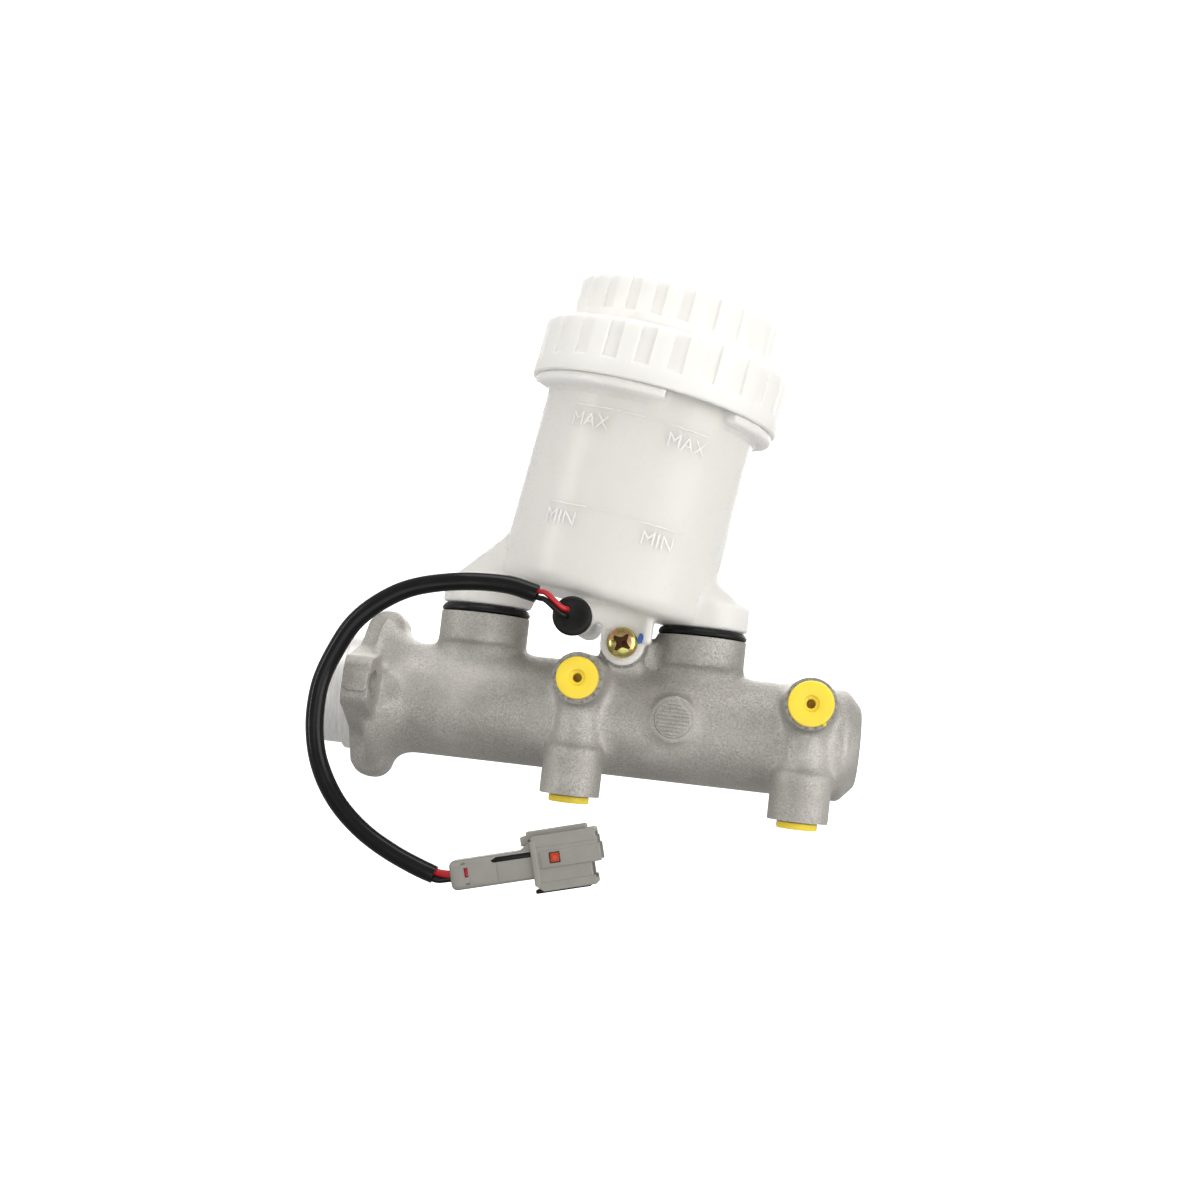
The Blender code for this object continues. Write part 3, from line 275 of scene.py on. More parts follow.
def moved(shape, matrix):
    bmesh.ops.transform(shape, matrix=matrix, verts=shape.verts)
    return shape


def smooth_path(points, spacing):
    """Points at about the given spacing on a smooth curve through the given ones."""
    points = [Vector(p) for p in points]
    ends = [2 * points[0] - points[1]] + points + [2 * points[-1] - points[-2]]
    dense = []
    for before, start, end, after in zip(ends, ends[1:], ends[2:], ends[3:]):
        for step in range(20):
            t = step / 20
            even = 2 * start + (end - before) * t
            even += (2 * before - 5 * start + 4 * end - after) * t**2
            even += (3 * start - before - 3 * end + after) * t**3
            dense.append(even / 2)
    dense.append(points[-1])
    reach = [0.0]
    for first, second in zip(dense, dense[1:]):
        reach.append(reach[-1] + (second - first).length)
    count = max(2, round(reach[-1] / spacing))
    path, place = [], 0
    for number in range(count + 1):
        target = reach[-1] * number / count
        while place < len(reach) - 2 and reach[place + 1] < target:
            place += 1
        share = (target - reach[place]) / max(reach[place + 1] - reach[place], 1e-9)
        path.append(dense[place].lerp(dense[place + 1], share))
    return path


def tube(path, radius, sides=24, hollow=0.0, wall=0.0005, waver=0.0):
    """A round tube along a path. hollow is how deep each end is open; waver varies its width."""
    shape = bmesh.new()
    side = Y if abs((path[1] - path[0]).normalized().dot(Y)) < 0.9 else Z
    rings = []

    def ring(at, along, width):
        across = (side - along * side.dot(along)).normalized()
        other = along.cross(across)
        spokes = [across * cos(angle) + other * sin(angle) for angle in around(sides)]
        rings.append([shape.verts.new(at + spoke * width) for spoke in spokes])

    tangents = []
    for step in range(len(path)):
        before, after = path[max(0, step - 1)], path[min(len(path) - 1, step + 1)]
        tangents.append((after - before).normalized())
    if hollow:
        ring(path[0] + tangents[0] * hollow, tangents[0], radius - wall)
        ring(path[0], tangents[0], radius - wall)
    for at, along in zip(path, tangents):
        swell = waver * noise.noise(at * 120)
        ring(at, along, radius + swell - (0.00008 if at in (path[0], path[-1]) else 0))
    if hollow:
        ring(path[-1], tangents[-1], radius - wall)
        ring(path[-1] - tangents[-1] * hollow, tangents[-1], radius - wall)
    skinned(shape, rings)
    shape.faces.new(rings[0])
    shape.faces.new(rings[-1])
    return sealed(shape)


# ---------------------------------------------------------------- mesh work


def linked(name, data):
    """A new object in the scene."""
    made = bpy.data.objects.new(name, data)
    bpy.context.scene.collection.objects.link(made)
    return made


def as_mesh(name, shape):
    mesh = bpy.data.meshes.new(name)
    shape.to_mesh(mesh)
    shape.free()
    return mesh


def as_object(name, shape):
    return linked(name, as_mesh(name, shape))


def joined(shapes):
    """Several shapes as one loose mesh."""
    whole = bmesh.new()
    for shape in shapes:
        loose = as_mesh("loose", shape)
        whole.from_mesh(loose)
        bpy.data.meshes.remove(loose)
    return whole


def bake(made):
    """Puts an object's modifiers into its mesh."""
    graph = bpy.context.evaluated_depsgraph_get()
    mesh = bpy.data.meshes.new_from_object(made.evaluated_get(graph))
    made.modifiers.clear()
    old = made.data
    made.data = mesh
    bpy.data.meshes.remove(old)
    mesh.name = made.name


def remeshed(made, voxel):
    remesh = made.modifiers.new("fuse", "REMESH")
    remesh.mode = "VOXEL"
    remesh.voxel_size = voxel
    bake(made)
    return made


def voxel_size():
    return 0.0006


def fused(name, shapes, voxel):
    """Overlapping shapes made one skin of even small faces."""
    return remeshed(as_object(name, joined(shapes)), voxel)


def combined(made, shapes, operation):
    """Joins shapes to an object or cuts them away."""
    group = bpy.data.collections.new("operands")
    bpy.context.scene.collection.children.link(group)
    for shape in shapes:
        helper = as_object("operand", shape)
        bpy.context.scene.collection.objects.unlink(helper)
        group.objects.link(helper)
    modifier = made.modifiers.new(operation, "BOOLEAN")
    modifier.operation = operation
    modifier.operand_type = "COLLECTION"
    modifier.collection = group
    bake(made)
    for helper in list(group.objects):
        bpy.data.objects.remove(helper)
    bpy.data.collections.remove(group)


def soften(made, fill, ease):
    """Fills inner corners with fillets in fill steps, then eases every edge in ease steps."""
    mesh = made.data
    count = len(mesh.vertices)
    points = np.empty(count * 3)
    mesh.vertices.foreach_get("co", points)
    points = points.reshape(-1, 3)
    ends = np.empty(len(mesh.edges) * 2, np.int32)
    mesh.edges.foreach_get("vertices", ends)
    a, b = ends.reshape(-1, 2).T
    degree = np.bincount(a, minlength=count) + np.bincount(b, minlength=count)

    def pull():
        total = np.empty_like(points)
        for axis in range(3):
            total[:, axis] = np.bincount(a, points[b, axis], count)
            total[:, axis] += np.bincount(b, points[a, axis], count)
        return total / degree[:, None] - points

    for _ in range(3):
        points += 0.5 * pull()
    normals = np.empty(count * 3)
    for step in range(fill):
        if step % 8 == 0:
            mesh.vertices.foreach_set("co", points.ravel())
            mesh.update()
            mesh.vertex_normals.foreach_get("vector", normals)
        facing = normals.reshape(-1, 3)
        outward = np.clip((pull() * facing).sum(1), 0, None)
        points += 0.6 * outward[:, None] * facing
    for step in range(ease):
        points += 0.5 * pull()
        points -= 0.52 * pull() if step % 2 else 0
    mesh.vertices.foreach_set("co", points.ravel())
    mesh.update()


def smooth(made, angle=30):
    made.data.shade_smooth()
    made.data.set_sharp_from_angle(angle=radians(angle))


# ---------------------------------------------------------------- finishes


class Finish:
    """A node material under construction."""

    def __init__(self, name, colour, roughness, metallic=0.0):
        self.material = bpy.data.materials.new(name)
        self.material.use_nodes = True
        self.nodes = self.material.node_tree.nodes
        self.links = self.material.node_tree.links
        self.shader = self.nodes["Principled BSDF"]
        self.shader.inputs["Base Color"].default_value = (*colour, 1)
        self.shader.inputs["Roughness"].default_value = roughness
        self.shader.inputs["Metallic"].default_value = metallic
        self.place = self.nodes.new("ShaderNodeTexCoord").outputs["Object"]
        self.normal = None

    def set(self, **values):
        for name, value in values.items():
            self.shader.inputs[name.replace("_", " ").title().replace("Ior", "IOR")].default_value = value
        return self

    def placed(self, kind, output, place=None, **values):
        """The output of a new node that reads a place."""
        made = self.nodes.new(kind)
        for name, value in values.items():
            made.inputs[name].default_value = value
        self.links.new(place or self.place, made.inputs["Vector"])
        return made.outputs[output]

    def stretched(self, scale):
        return self.placed("ShaderNodeMapping", "Vector", Scale=scale)

    def noise(self, scale, detail=4.0, rough=0.55, place=None):
        return self.placed("ShaderNodeTexNoise", "Fac", place, Scale=scale, Detail=detail, Roughness=rough)

    def cells(self, scale):
        return self.placed("ShaderNodeTexVoronoi", "Distance", Scale=scale)

    def spread(self, value, low, high, out_low=0.0, out_high=1.0):
        made = self.nodes.new("ShaderNodeMapRange")
        for place, number in enumerate((low, high, out_low, out_high), 1):
            made.inputs[place].default_value = number
        self.links.new(value, made.inputs[0])
        return made.outputs[0]

    def tint(self, *layers):
        """Colour layers: the first colour, then (factor, colour) pairs mixed over it in turn."""
        first = layers[0]
        below = None
        for factor, colour in layers[1:]:
            mix = self.nodes.new("ShaderNodeMix")
            mix.data_type = "RGBA"
            if below is None:
                mix.inputs[6].default_value = (*first, 1)
            else:
                self.links.new(below, mix.inputs[6])
            mix.inputs[7].default_value = (*colour, 1)
            self.links.new(factor, mix.inputs[0])
            below = mix.outputs[2]
        self.links.new(below, self.shader.inputs["Base Color"])
        return self

    def polish(self, value):
        self.links.new(value, self.shader.inputs["Roughness"])
        return self

    def relief(self, height, distance, strength=1.0):
        bump = self.nodes.new("ShaderNodeBump")
        bump.inputs["Distance"].default_value = distance
        bump.inputs["Strength"].default_value = strength
        self.links.new(height, bump.inputs["Height"])
        if self.normal is not None:
            self.links.new(self.normal, bump.inputs["Normal"])
        self.normal = bump.outputs["Normal"]
        self.links.new(self.normal, self.shader.inputs["Normal"])
        return self


def cast_finish():
    """Blasted casting: fine grain, pits, darker and lighter patches."""
    light, dark = (0.50, 0.484, 0.456), (0.26, 0.249, 0.232)
    made = Finish("cast_aluminium_look", light, 0.5, 0.65)
    grain = made.noise(1500, 3, 0.7)
    patches = made.noise(90, 5, 0.6)
    specks = made.spread(made.noise(3200, 1, 0.5), 0.60, 0.72)
    glints = made.spread(made.cells(2100), 0.16, 0.05)
    made.tint(
        light,
        (made.spread(grain, 0.35, 0.70, 0.0, 0.75), dark),
        (made.spread(patches, 0.44, 0.66, 0.0, 0.6), (0.36, 0.342, 0.315)),
        (made.spread(made.noise(38, 3, 0.5), 0.50, 0.68, 0.0, 0.45), (0.64, 0.62, 0.585)),
        (made.spread(specks, 0, 1, 0.0, 0.55), (0.15, 0.142, 0.13)),
        (made.spread(glints, 0, 1, 0.0, 0.6), (0.80, 0.79, 0.76)),
    )
    made.polish(made.spread(grain, 0.3, 0.7, 0.42, 0.66))
    made.relief(grain, 0.00022, 0.8).relief(made.noise(420, 4), 0.00025, 0.7)
    return made.material


def machined_finish():
    """Lathe-turned face: fine rings read as streaks of roughness."""
    made = Finish("machined_aluminium_look", (0.86, 0.85, 0.84), 0.40, 0.6)
    streaks = made.noise(500, 2, 0.5, made.stretched((6.0, 0.4, 0.4)))
    made.tint((0.88, 0.87, 0.86), (made.spread(streaks, 0.35, 0.7), (0.72, 0.715, 0.70)))
    made.polish(made.spread(streaks, 0.3, 0.7, 0.30, 0.46)).relief(streaks, 0.00004, 0.6)
    return made.material


def metal_finish(name, light, dark, roughness, scale=600.0):
    made = Finish(name, light, roughness, 1.0)
    streaks = made.noise(scale, 3, 0.6)
    made.tint(light, (made.spread(streaks, 0.35, 0.7), dark))
    made.polish(made.spread(streaks, 0.3, 0.7, roughness * 0.7, roughness * 1.4))
    made.relief(streaks, 0.00003, 0.5)
    return made.material


def zinc_finish():
    """Yellow passivated zinc, with its drifting green, gold and rose tints."""
    made = Finish("zinc_gold_look", (0.62, 0.50, 0.16), 0.24, 1.0)
    drift = made.noise(260, 3, 0.6)
    other = made.noise(180, 2, 0.5, made.stretched((1.4, 0.8, 1.2)))
    made.tint(
        (0.66, 0.56, 0.20),
        (made.spread(drift, 0.40, 0.62, 0, 0.85), (0.38, 0.42, 0.12)),
        (made.spread(other, 0.50, 0.66, 0, 0.8), (0.62, 0.30, 0.22)),
        (made.spread(other, 0.46, 0.30, 0, 0.8), (0.80, 0.66, 0.26)),
    )
    made.polish(made.spread(drift, 0.3, 0.7, 0.16, 0.34)).relief(made.noise(900, 2), 0.00004, 0.6)
    return made.material


def plastic_finish(name, colour, other, roughness, grain=0.00003, scale=1400.0, **sockets):
    """Moulded plastic: a faint mottle, a fine skin and slightly uneven gloss."""
    made = Finish(name, colour, roughness)
    made.set(**sockets)
    mottle = made.noise(70, 4, 0.6)
    skin = made.noise(scale, 2, 0.6)
    made.tint(colour, (made.spread(mottle, 0.35, 0.7, 0, 1), other))
    made.polish(made.spread(skin, 0.3, 0.7, roughness * 0.85, min(1.0, roughness * 1.2)))
    made.relief(skin, grain, 0.5).relief(made.noise(120, 2), 0.00015, 0.25)
    return made.material


def rubber_finish(name, colour, other, roughness):
    """Rubber: dark, with a dusty bloom and fine pores."""
    made = Finish(name, colour, roughness).set(specular_ior_level=0.22)
    bloom = made.noise(160, 5, 0.65)
    pores = made.noise(1800, 2, 0.6)
    made.tint(colour, (made.spread(bloom, 0.45, 0.75, 0, 1), other))
    made.polish(made.spread(bloom, 0.3, 0.7, roughness * 0.8, min(1.0, roughness * 1.3)))
    made.relief(pores, 0.00004, 0.5)
    return made.material


def foam_finish():
    made = Finish("float_foam_look", (0.78, 0.72, 0.56), 0.8)
    pits = made.cells(1300)
    made.tint((0.80, 0.75, 0.60), (made.spread(pits, 0.25, 0.05), (0.55, 0.48, 0.34)))
    made.polish(made.spread(pits, 0, 0.4, 0.9, 0.7)).relief(pits, 0.00015, 0.8)
    return made.material


def make_finishes():
    milky = plastic_finish(
        "milky_plastic_look", (0.955, 0.953, 0.938), (0.94, 0.938, 0.92), 0.30, subsurface_weight=1.0,
        subsurface_radius=(0.80, 0.86, 1.0), subsurface_scale=0.008, specular_ior_level=0.45,
    )
    white = plastic_finish(
        "white_plastic_look", (0.91, 0.905, 0.875), (0.885, 0.88, 0.85), 0.42, subsurface_weight=0.6,
        subsurface_radius=(0.85, 0.9, 1.0), subsurface_scale=0.004,
    )
    yellow = plastic_finish(
        "yellow_plastic_look", (0.93, 0.72, 0.05), (0.90, 0.66, 0.04), 0.36, subsurface_weight=0.2,
        subsurface_radius=(1.0, 0.6, 0.1), subsurface_scale=0.0015,
    )
    made = {
        "cast_aluminium": cast_finish(),
        "machined": machined_finish(),
        "zinc_gold": zinc_finish(),
        "float_foam": foam_finish(),
        "milky_plastic": milky,
        "white_plastic": white,
        "yellow_plastic": yellow,
    }
    metals = (
        ("milled_aluminium", (0.40, 0.39, 0.375), (0.24, 0.235, 0.22), 0.5, 900),
        ("turned_aluminium", (0.66, 0.66, 0.66), (0.50, 0.50, 0.50), 0.26),
        ("spring_steel", (0.42, 0.42, 0.43), (0.26, 0.26, 0.27), 0.30),
        ("terminal_brass", (0.76, 0.56, 0.24), (0.55, 0.38, 0.14), 0.28),
        ("magnet", (0.12, 0.12, 0.125), (0.06, 0.06, 0.065), 0.55),
        # painted_recess_shade: near-black brown for the screw's cross recess, painted shade for its depth
        ("painted_recess_shade", (0.10, 0.045, 0.02), (0.03, 0.015, 0.01), 0.25, 900),
    )
    rubbers = (
        ("black_rubber", (0.005, 0.005, 0.005), (0.010, 0.0095, 0.009), 0.36),
        ("black_sleeve", (0.004, 0.004, 0.0042), (0.007, 0.007, 0.0072), 0.16),
    )
    plastics = (
        ("level_mark", (0.845, 0.842, 0.825), (0.83, 0.826, 0.81), 0.34),
        ("red_wire", (0.50, 0.008, 0.015), (0.42, 0.006, 0.012), 0.30),
        ("grey_plastic", (0.27, 0.265, 0.238), (0.23, 0.225, 0.20), 0.42),
        ("orange_plastic", (0.62, 0.055, 0.008), (0.52, 0.045, 0.007), 0.4),
        ("blue_paint", (0.05, 0.13, 0.62), (0.10, 0.24, 0.75), 0.4),
    )
    for make, rows in ((metal_finish, metals), (rubber_finish, rubbers), (plastic_finish, plastics)):
        for name, *look in rows:
            made[name] = make(name + "_look", *look)
    return made


FINISHES = {}


def piece(made, finish, body="root", slot=None, stands_for=(), angle=30):
    """Finishes an object, ties it to its body and hides the CAD nodes it stands for."""
    made.data.materials.clear()
    made.data.materials.append(FINISHES[finish])
    if angle is not None:
        smooth(made, angle)
    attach(made, body)
    slot or finish
    if stands_for:
        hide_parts(*stands_for)
    return made


# ---------------------------------------------------------------- camera, light, floor


def make_camera():
    """At the bore's height and square to the object, tilted so that it seems to roll clockwise."""
    data = bpy.data.cameras.new("camera")
    data.sensor_width = 36
    data.lens = 52.05
    data.clip_start, data.clip_end = 0.01, 20
    camera = linked("camera", data)
    place, target = Vector((0.130, -0.590, 0.0)), Vector((0.0775, 0, 0.0402))
    ahead = (target - place).normalized()
    right = ahead.cross(Vector((-0.1132, 0, 0.9936))).normalized()
    upward = right.cross(ahead)
    turn = Matrix((right, upward, -ahead)).transposed()
    camera.matrix_world = Matrix.Translation(place) @ turn.to_4x4()
    bpy.context.scene.camera = camera


def make_lights():
    """Five warm softboxes aimed at the middle of the object."""
    centre = Vector((0.075, 0, 0.03))
    for name, place, width, height, power in (
        ("top_softbox", (0.12, -0.20, 0.90), 0.7, 0.5, 3.0),
        ("left_softbox", (-0.84, -0.48, 0.20), 0.16, 0.9, 2.8),
        ("right_softbox", (0.95, -0.55, 0.10), 0.7, 0.9, 5.2),
        ("front_softbox", (0.30, -1.10, -0.40), 0.9, 0.9, 3.2),
        ("back_softbox", (0.10, 0.80, 0.45), 0.9, 0.7, 6.0),
    ):
        data = bpy.data.lights.new(name, "AREA")
        data.shape = "RECTANGLE"
        data.size, data.size_y = width, height
        data.energy = power
        data.color = (1, 0.99, 0.972)
        light = linked(name, data)
        light.location = place
        light.rotation_mode = "QUATERNION"
        light.rotation_quaternion = (centre - Vector(place)).to_track_quat("-Z", "Y")


def make_surroundings():
    """White studio: bright above, dimmer below."""
    world = bpy.data.worlds.new("studio")
    bpy.context.scene.world = world
    world.use_nodes = True
    nodes, links = world.node_tree.nodes, world.node_tree.links
    background = nodes["Background"]
    place = nodes.new("ShaderNodeTexCoord")
    split = nodes.new("ShaderNodeSeparateXYZ")
    links.new(place.outputs["Generated"], split.inputs[0])
    ramp = nodes.new("ShaderNodeValToRGB")
    spread = nodes.new("ShaderNodeMapRange")
    spread.inputs[1].default_value = -1
    links.new(split.outputs["Z"], spread.inputs[0])
    links.new(spread.outputs[0], ramp.inputs[0])
    steps = ramp.color_ramp.elements
    steps[0].position, steps[0].color = 0.0, (0.48, 0.475, 0.465, 1)
    steps[1].position, steps[1].color = 1.0, (0.90, 0.89, 0.87, 1)
    middle = steps.new(0.5)
    middle.color = (0.82, 0.815, 0.80, 1)
    links.new(ramp.outputs[0], background.inputs["Color"])
    background.inputs["Strength"].default_value = 0.72


def make_stage():
    """A plain pale floor below, and a pale screen all round that the camera sees as white."""
    bowl = [(0, 0.0001), (0, 1.6), (0.05, 2.2), (0.4, 2.9), (1.4, 3.2), (3.2, 2.9), (4.0, 0.0001)]
    floor = as_object("floor", turned(bowl, (0.075, 0, -0.30), UP))
    floor.data.shade_smooth()
    made = Finish("floor_look", (0.9, 0.9, 0.9), 0.8)
    made.set(emission_color=(1, 1, 1, 1), emission_strength=1.0)
    faint = made.noise(3, 2)
    made.tint((0.9, 0.9, 0.9), (faint, (0.88, 0.88, 0.88)))
    floor.data.materials.append(made.material)
    floor.visible_diffuse = False
    floor.visible_glossy = False
    floor.visible_transmission = False
    floor.visible_shadow = False
    floor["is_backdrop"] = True


# ---------------------------------------------------------------- casting


def twisted(y, z):
    return Matrix.Rotation(-FLANGE_TWIST, 2) @ Vector((y, z))


def rounded_outline(half_length, tip_half_width, root, root_half_width):
    """A bar across the axis: rounded tips, widening towards the middle."""
    corner = tip_half_width * 0.6
    quarter = []
    for step in range(9):
        angle = radians(90) * step / 8
        along = half_length - corner + corner * cos(angle)
        across = tip_half_width - corner + corner * sin(angle)
        quarter.append((along, across))
    quarter.append((root, root_half_width))
    upper = quarter + [(-along, across) for along, across in reversed(quarter)]
    return upper + [(along, -across) for along, across in reversed(upper)]


def casting_shapes():
    """The rough casting, a little proud where it is machined later."""
    nose = BODY_LENGTH - 0.0058
    barrel = [
        (BODY_REAR - 0.002, 0), (BODY_REAR - 0.002, SPIGOT_RADIUS + 0.001),
        (0.001, SPIGOT_STEP_RADIUS + 0.001), (EAR_THICKNESS / 2, SPIGOT_STEP_RADIUS + 0.0006),
        (EAR_THICKNESS / 2, BARREL_RADIUS + 0.0082), (LUG_THICKNESS, BARREL_RADIUS + 0.0070),
        (EAR_THICKNESS, BARREL_RADIUS + 0.0036), (EAR_THICKNESS + 0.0022, BARREL_RADIUS + 0.0016),
        (EAR_THICKNESS + 0.0055, BARREL_RADIUS), (nose, BARREL_RADIUS),
        (nose + 0.0012, BARREL_RADIUS - 0.0006), (BODY_LENGTH - 0.0004, 0.0134), (BODY_LENGTH, 0.0124),
        (BODY_LENGTH, 0),
    ]
    yield turned(barrel, ORIGIN, X, 120)
    lugs = rounded_outline(LUG_TIP, LUG_HALF_HEIGHT, 0.014, 0.0145)
    yield plate([twisted(*point) for point in lugs], -0.001, LUG_THICKNESS)
    ears = bmesh.new()
    rounding = ((0.0050, -0.0008), (0.0032, 0.0003), (0.0014, 0.0018), (0.0004, 0.0034), (0, 0.0048))
    for shorter, inset in rounding:
        outline = rounded_outline(EAR_TIP - shorter, EAR_HALF_WIDTH * 0.8, 0.014, EAR_HALF_WIDTH * 1.35)
        for y, z in [twisted(across, along) for along, across in outline]:
            ears.verts.new((inset, y, z))
            ears.verts.new((EAR_THICKNESS - max(inset, 0), y, z))
    yield convex(ears)
    for x in INLETS:
        yield rod((x, 0, INLET_COLLAR_Z), (x, 0, INLET_TOP + 0.0012), INLET_RADIUS + 0.0001, 96)
        neck_top = Vector((x, 0, INLET_COLLAR_Z + 0.001))
        neck = rod((x, 0, 0.002), neck_top, INLET_BASE_RADIUS, 96, INLET_RADIUS - 0.0002)
        yield moved(neck, Matrix.Diagonal((1, INLET_NECK_SHARE, 1, 1)))
    web_end = INLETS[1] - INLET_SOCKET_RADIUS
    yield block((SCREW_X, -0.0072, 0.010), (web_end, 0.0072, SCREW_WEB_TOP))
    for x in STATIONS.values():
        root, face = Vector((x, 0, SIDE_PORT_Z)), Vector((x, SIDE_PORT_FACE - 0.001, SIDE_PORT_Z))
        yield rod(root, face, SIDE_PORT_RADIUS + 0.0005, 80, SIDE_PORT_RADIUS)
        collar_end = Vector((x, COLLAR_FRONT, SIDE_PORT_Z))
        yield rod((x, 0, COLLAR_Z), collar_end, COLLAR_RADIUS, 80, SIDE_PORT_RADIUS)
        neck = Vector((x, DOWN_PORT_Y, DOWN_NECK_BOTTOM - 0.001))
        yield rod((x, DOWN_PORT_Y, SIDE_PORT_Z), neck, DOWN_NECK_RADIUS, 80)
        depth = DOWN_NECK_BOTTOM - DOWN_PORT_FACE + 0.001
        profile = [
            (0, 0), (0, DOWN_NECK_RADIUS), (0.0014, DOWN_PORT_RADIUS), (depth, DOWN_PORT_RADIUS), (depth, 0),
        ]
        yield turned(profile, (x, DOWN_PORT_Y, DOWN_NECK_BOTTOM), DOWN, 80)
    rear, front = Vector((SCREW_X, 0.0088, SCREW_Z)), Vector((SCREW_X, SCREW_LUG_FRONT - 0.001, SCREW_Z))
    yield rod(rear, front, SCREW_LUG_RADIUS, 64)
    low = (SCREW_X - SCREW_LUG_RADIUS * 0.9, SCREW_LUG_FRONT + 0.0006, 0.012)
    yield block(low, (SCREW_X + SCREW_LUG_RADIUS * 0.9, 0.0078, SCREW_Z - 0.002))
    yield rod((PAD_X, -0.012, PAD_Z), (PAD_X, -0.0194, PAD_Z), PAD_RADIUS, 64)


def machined_cuts():
    """Spigot and rear face, bore, boss tops, ports and holes."""
    lathe = [
        (-0.03, 0), (-0.03, 0.06), (0, 0.06), (0, SPIGOT_STEP_RADIUS),
        (-SPIGOT_STEP + 0.0003, SPIGOT_STEP_RADIUS), (-SPIGOT_STEP, SPIGOT_STEP_RADIUS - 0.0003),
        (-SPIGOT_STEP, SPIGOT_RADIUS), (BODY_REAR + 0.001, SPIGOT_RADIUS),
        (BODY_REAR, SPIGOT_RADIUS - 0.001), (BODY_REAR, 0),
    ]
    yield turned(lathe, ORIGIN, X, 128)
    mouth_end = BODY_REAR + MOUTH_DEPTH
    bore = [
        (BODY_REAR - 0.001, 0), (BODY_REAR - 0.001, MOUTH_RADIUS + 0.0012),
        (BODY_REAR + 0.0004, MOUTH_RADIUS), (RING_GROOVE_REAR, MOUTH_RADIUS),
        (RING_GROOVE_REAR, RING_GROOVE_RADIUS), (RING_GROOVE_FRONT, RING_GROOVE_RADIUS),
        (RING_GROOVE_FRONT, MOUTH_RADIUS), (mouth_end, MOUTH_RADIUS), (mouth_end, BORE_RADIUS),
        (BORE_END, BORE_RADIUS), (BORE_END + 0.003, 0),
    ]
    yield turned(bore, ORIGIN, X, 96)
    for side in (-1, 1):
        y, z = twisted(side * BOLT_OFFSET, 0)
        profile = [(-0.002, 0), (-0.002, BOLT_HOLE_RADIUS), (LUG_THICKNESS + 0.004, BOLT_HOLE_RADIUS)]
        profile += [(LUG_THICKNESS + 0.004, 0)]
        yield turned(profile, (0, y, z), X, 64)
    for x in INLETS:
        profile = [
            (INLET_SOCKET_FLOOR, 0), (INLET_SOCKET_FLOOR, INLET_SOCKET_RADIUS),
            (INLET_TOP, INLET_SOCKET_RADIUS),
        ]
        profile += [(INLET_TOP, 0.021), (INLET_TOP + 0.004, 0.021), (INLET_TOP + 0.004, 0)]
        yield turned(profile, (x, 0, 0), UP, 96)
    for x, radius in DRILLINGS:
        yield rod((x, 0, 0.010), (x, 0, 0.023), radius, 20)
    for x in STATIONS.values():
        down_floor = Vector((x, DOWN_PORT_Y, DOWN_PORT_FACE + PORT_DEPTH))
        side_floor = Vector((x, SIDE_PORT_FACE + PORT_DEPTH, SIDE_PORT_Z))
        for floor, along, ends in (
            (side_floor, OUTWARD, (side_floor - Y * 0.002, Vector((x, -0.008, 0.0062)))),
            (down_floor, DOWN, (down_floor - Z * 0.002, Vector((x, -0.0095, -0.0055)))),
        ):
            profile = [
                (0, 0), (0, PORT_THREAD_RADIUS), (PORT_DEPTH - 0.0006, PORT_THREAD_RADIUS),
                (PORT_DEPTH, PORT_THREAD_RADIUS + 0.0006), (PORT_DEPTH, 0.0125),
                (PORT_DEPTH + 0.004, 0.0125), (PORT_DEPTH + 0.004, 0),
            ]
            yield turned(profile, floor, along, 80)
            yield rod(*ends, 0.0014, 16)
    profile = [(-0.003, 0), (-0.003, 0.0024), (-SCREW_LUG_FRONT, 0.0024), (-SCREW_LUG_FRONT, 0.0084)]
    profile += [(-SCREW_LUG_FRONT + 0.003, 0.0084), (-SCREW_LUG_FRONT + 0.003, 0)]
    yield turned(profile, (SCREW_X, 0, SCREW_Z), OUTWARD, 48)


def mark_machined(made):
    """Gives the lathe-turned and spot-faced faces the machined finish."""
    mesh = made.data
    mesh.materials.append(FINISHES["machined"])
    mesh.materials.append(FINISHES["milled_aluminium"])
    flags = []
    for face in mesh.polygons:
        x, y, z = face.center
        n = face.normal
        radius = hypot(y, z)
        turned_end = x < -0.0001 and radius < SPIGOT_STEP_RADIUS + 0.0002
        seat = abs(x) < 0.0002 and n.x < -0.99
        boss = abs(z - INLET_TOP) < 0.0001 and n.z > 0.99
        socket = INLET_SOCKET_FLOOR - 0.0001 < z < INLET_TOP and min(
            hypot(x - at, y) for at in INLETS
        ) < INLET_SOCKET_RADIUS + 0.0001
        side = abs(y - SIDE_PORT_FACE) < 0.0001 and n.y < -0.99
        under = abs(z - DOWN_PORT_FACE) < 0.0001 and n.z < -0.99
        spot = abs(x - LUG_THICKNESS + 0.0002) < 0.00005 and n.x > 0.99
        lug = abs(y - SCREW_LUG_FRONT) < 0.00005 and n.y < -0.99
        flags.append(1 if turned_end or seat else 2 if boss or socket or side or under or spot or lug else 0)
    mesh.polygons.foreach_set("material_index", flags)


def spot_faces():
    """The round clearances for the stud nuts, cut into the fillet beside each lug."""
    for side in (-1, 1):
        y, z = twisted(side * BOLT_OFFSET, 0)
        near, far = Vector((LUG_THICKNESS - 0.0002, y, z)), Vector((LUG_THICKNESS + 0.010, y, z))
        yield rod(near, far, SPOT_FACE_RADIUS, 96)


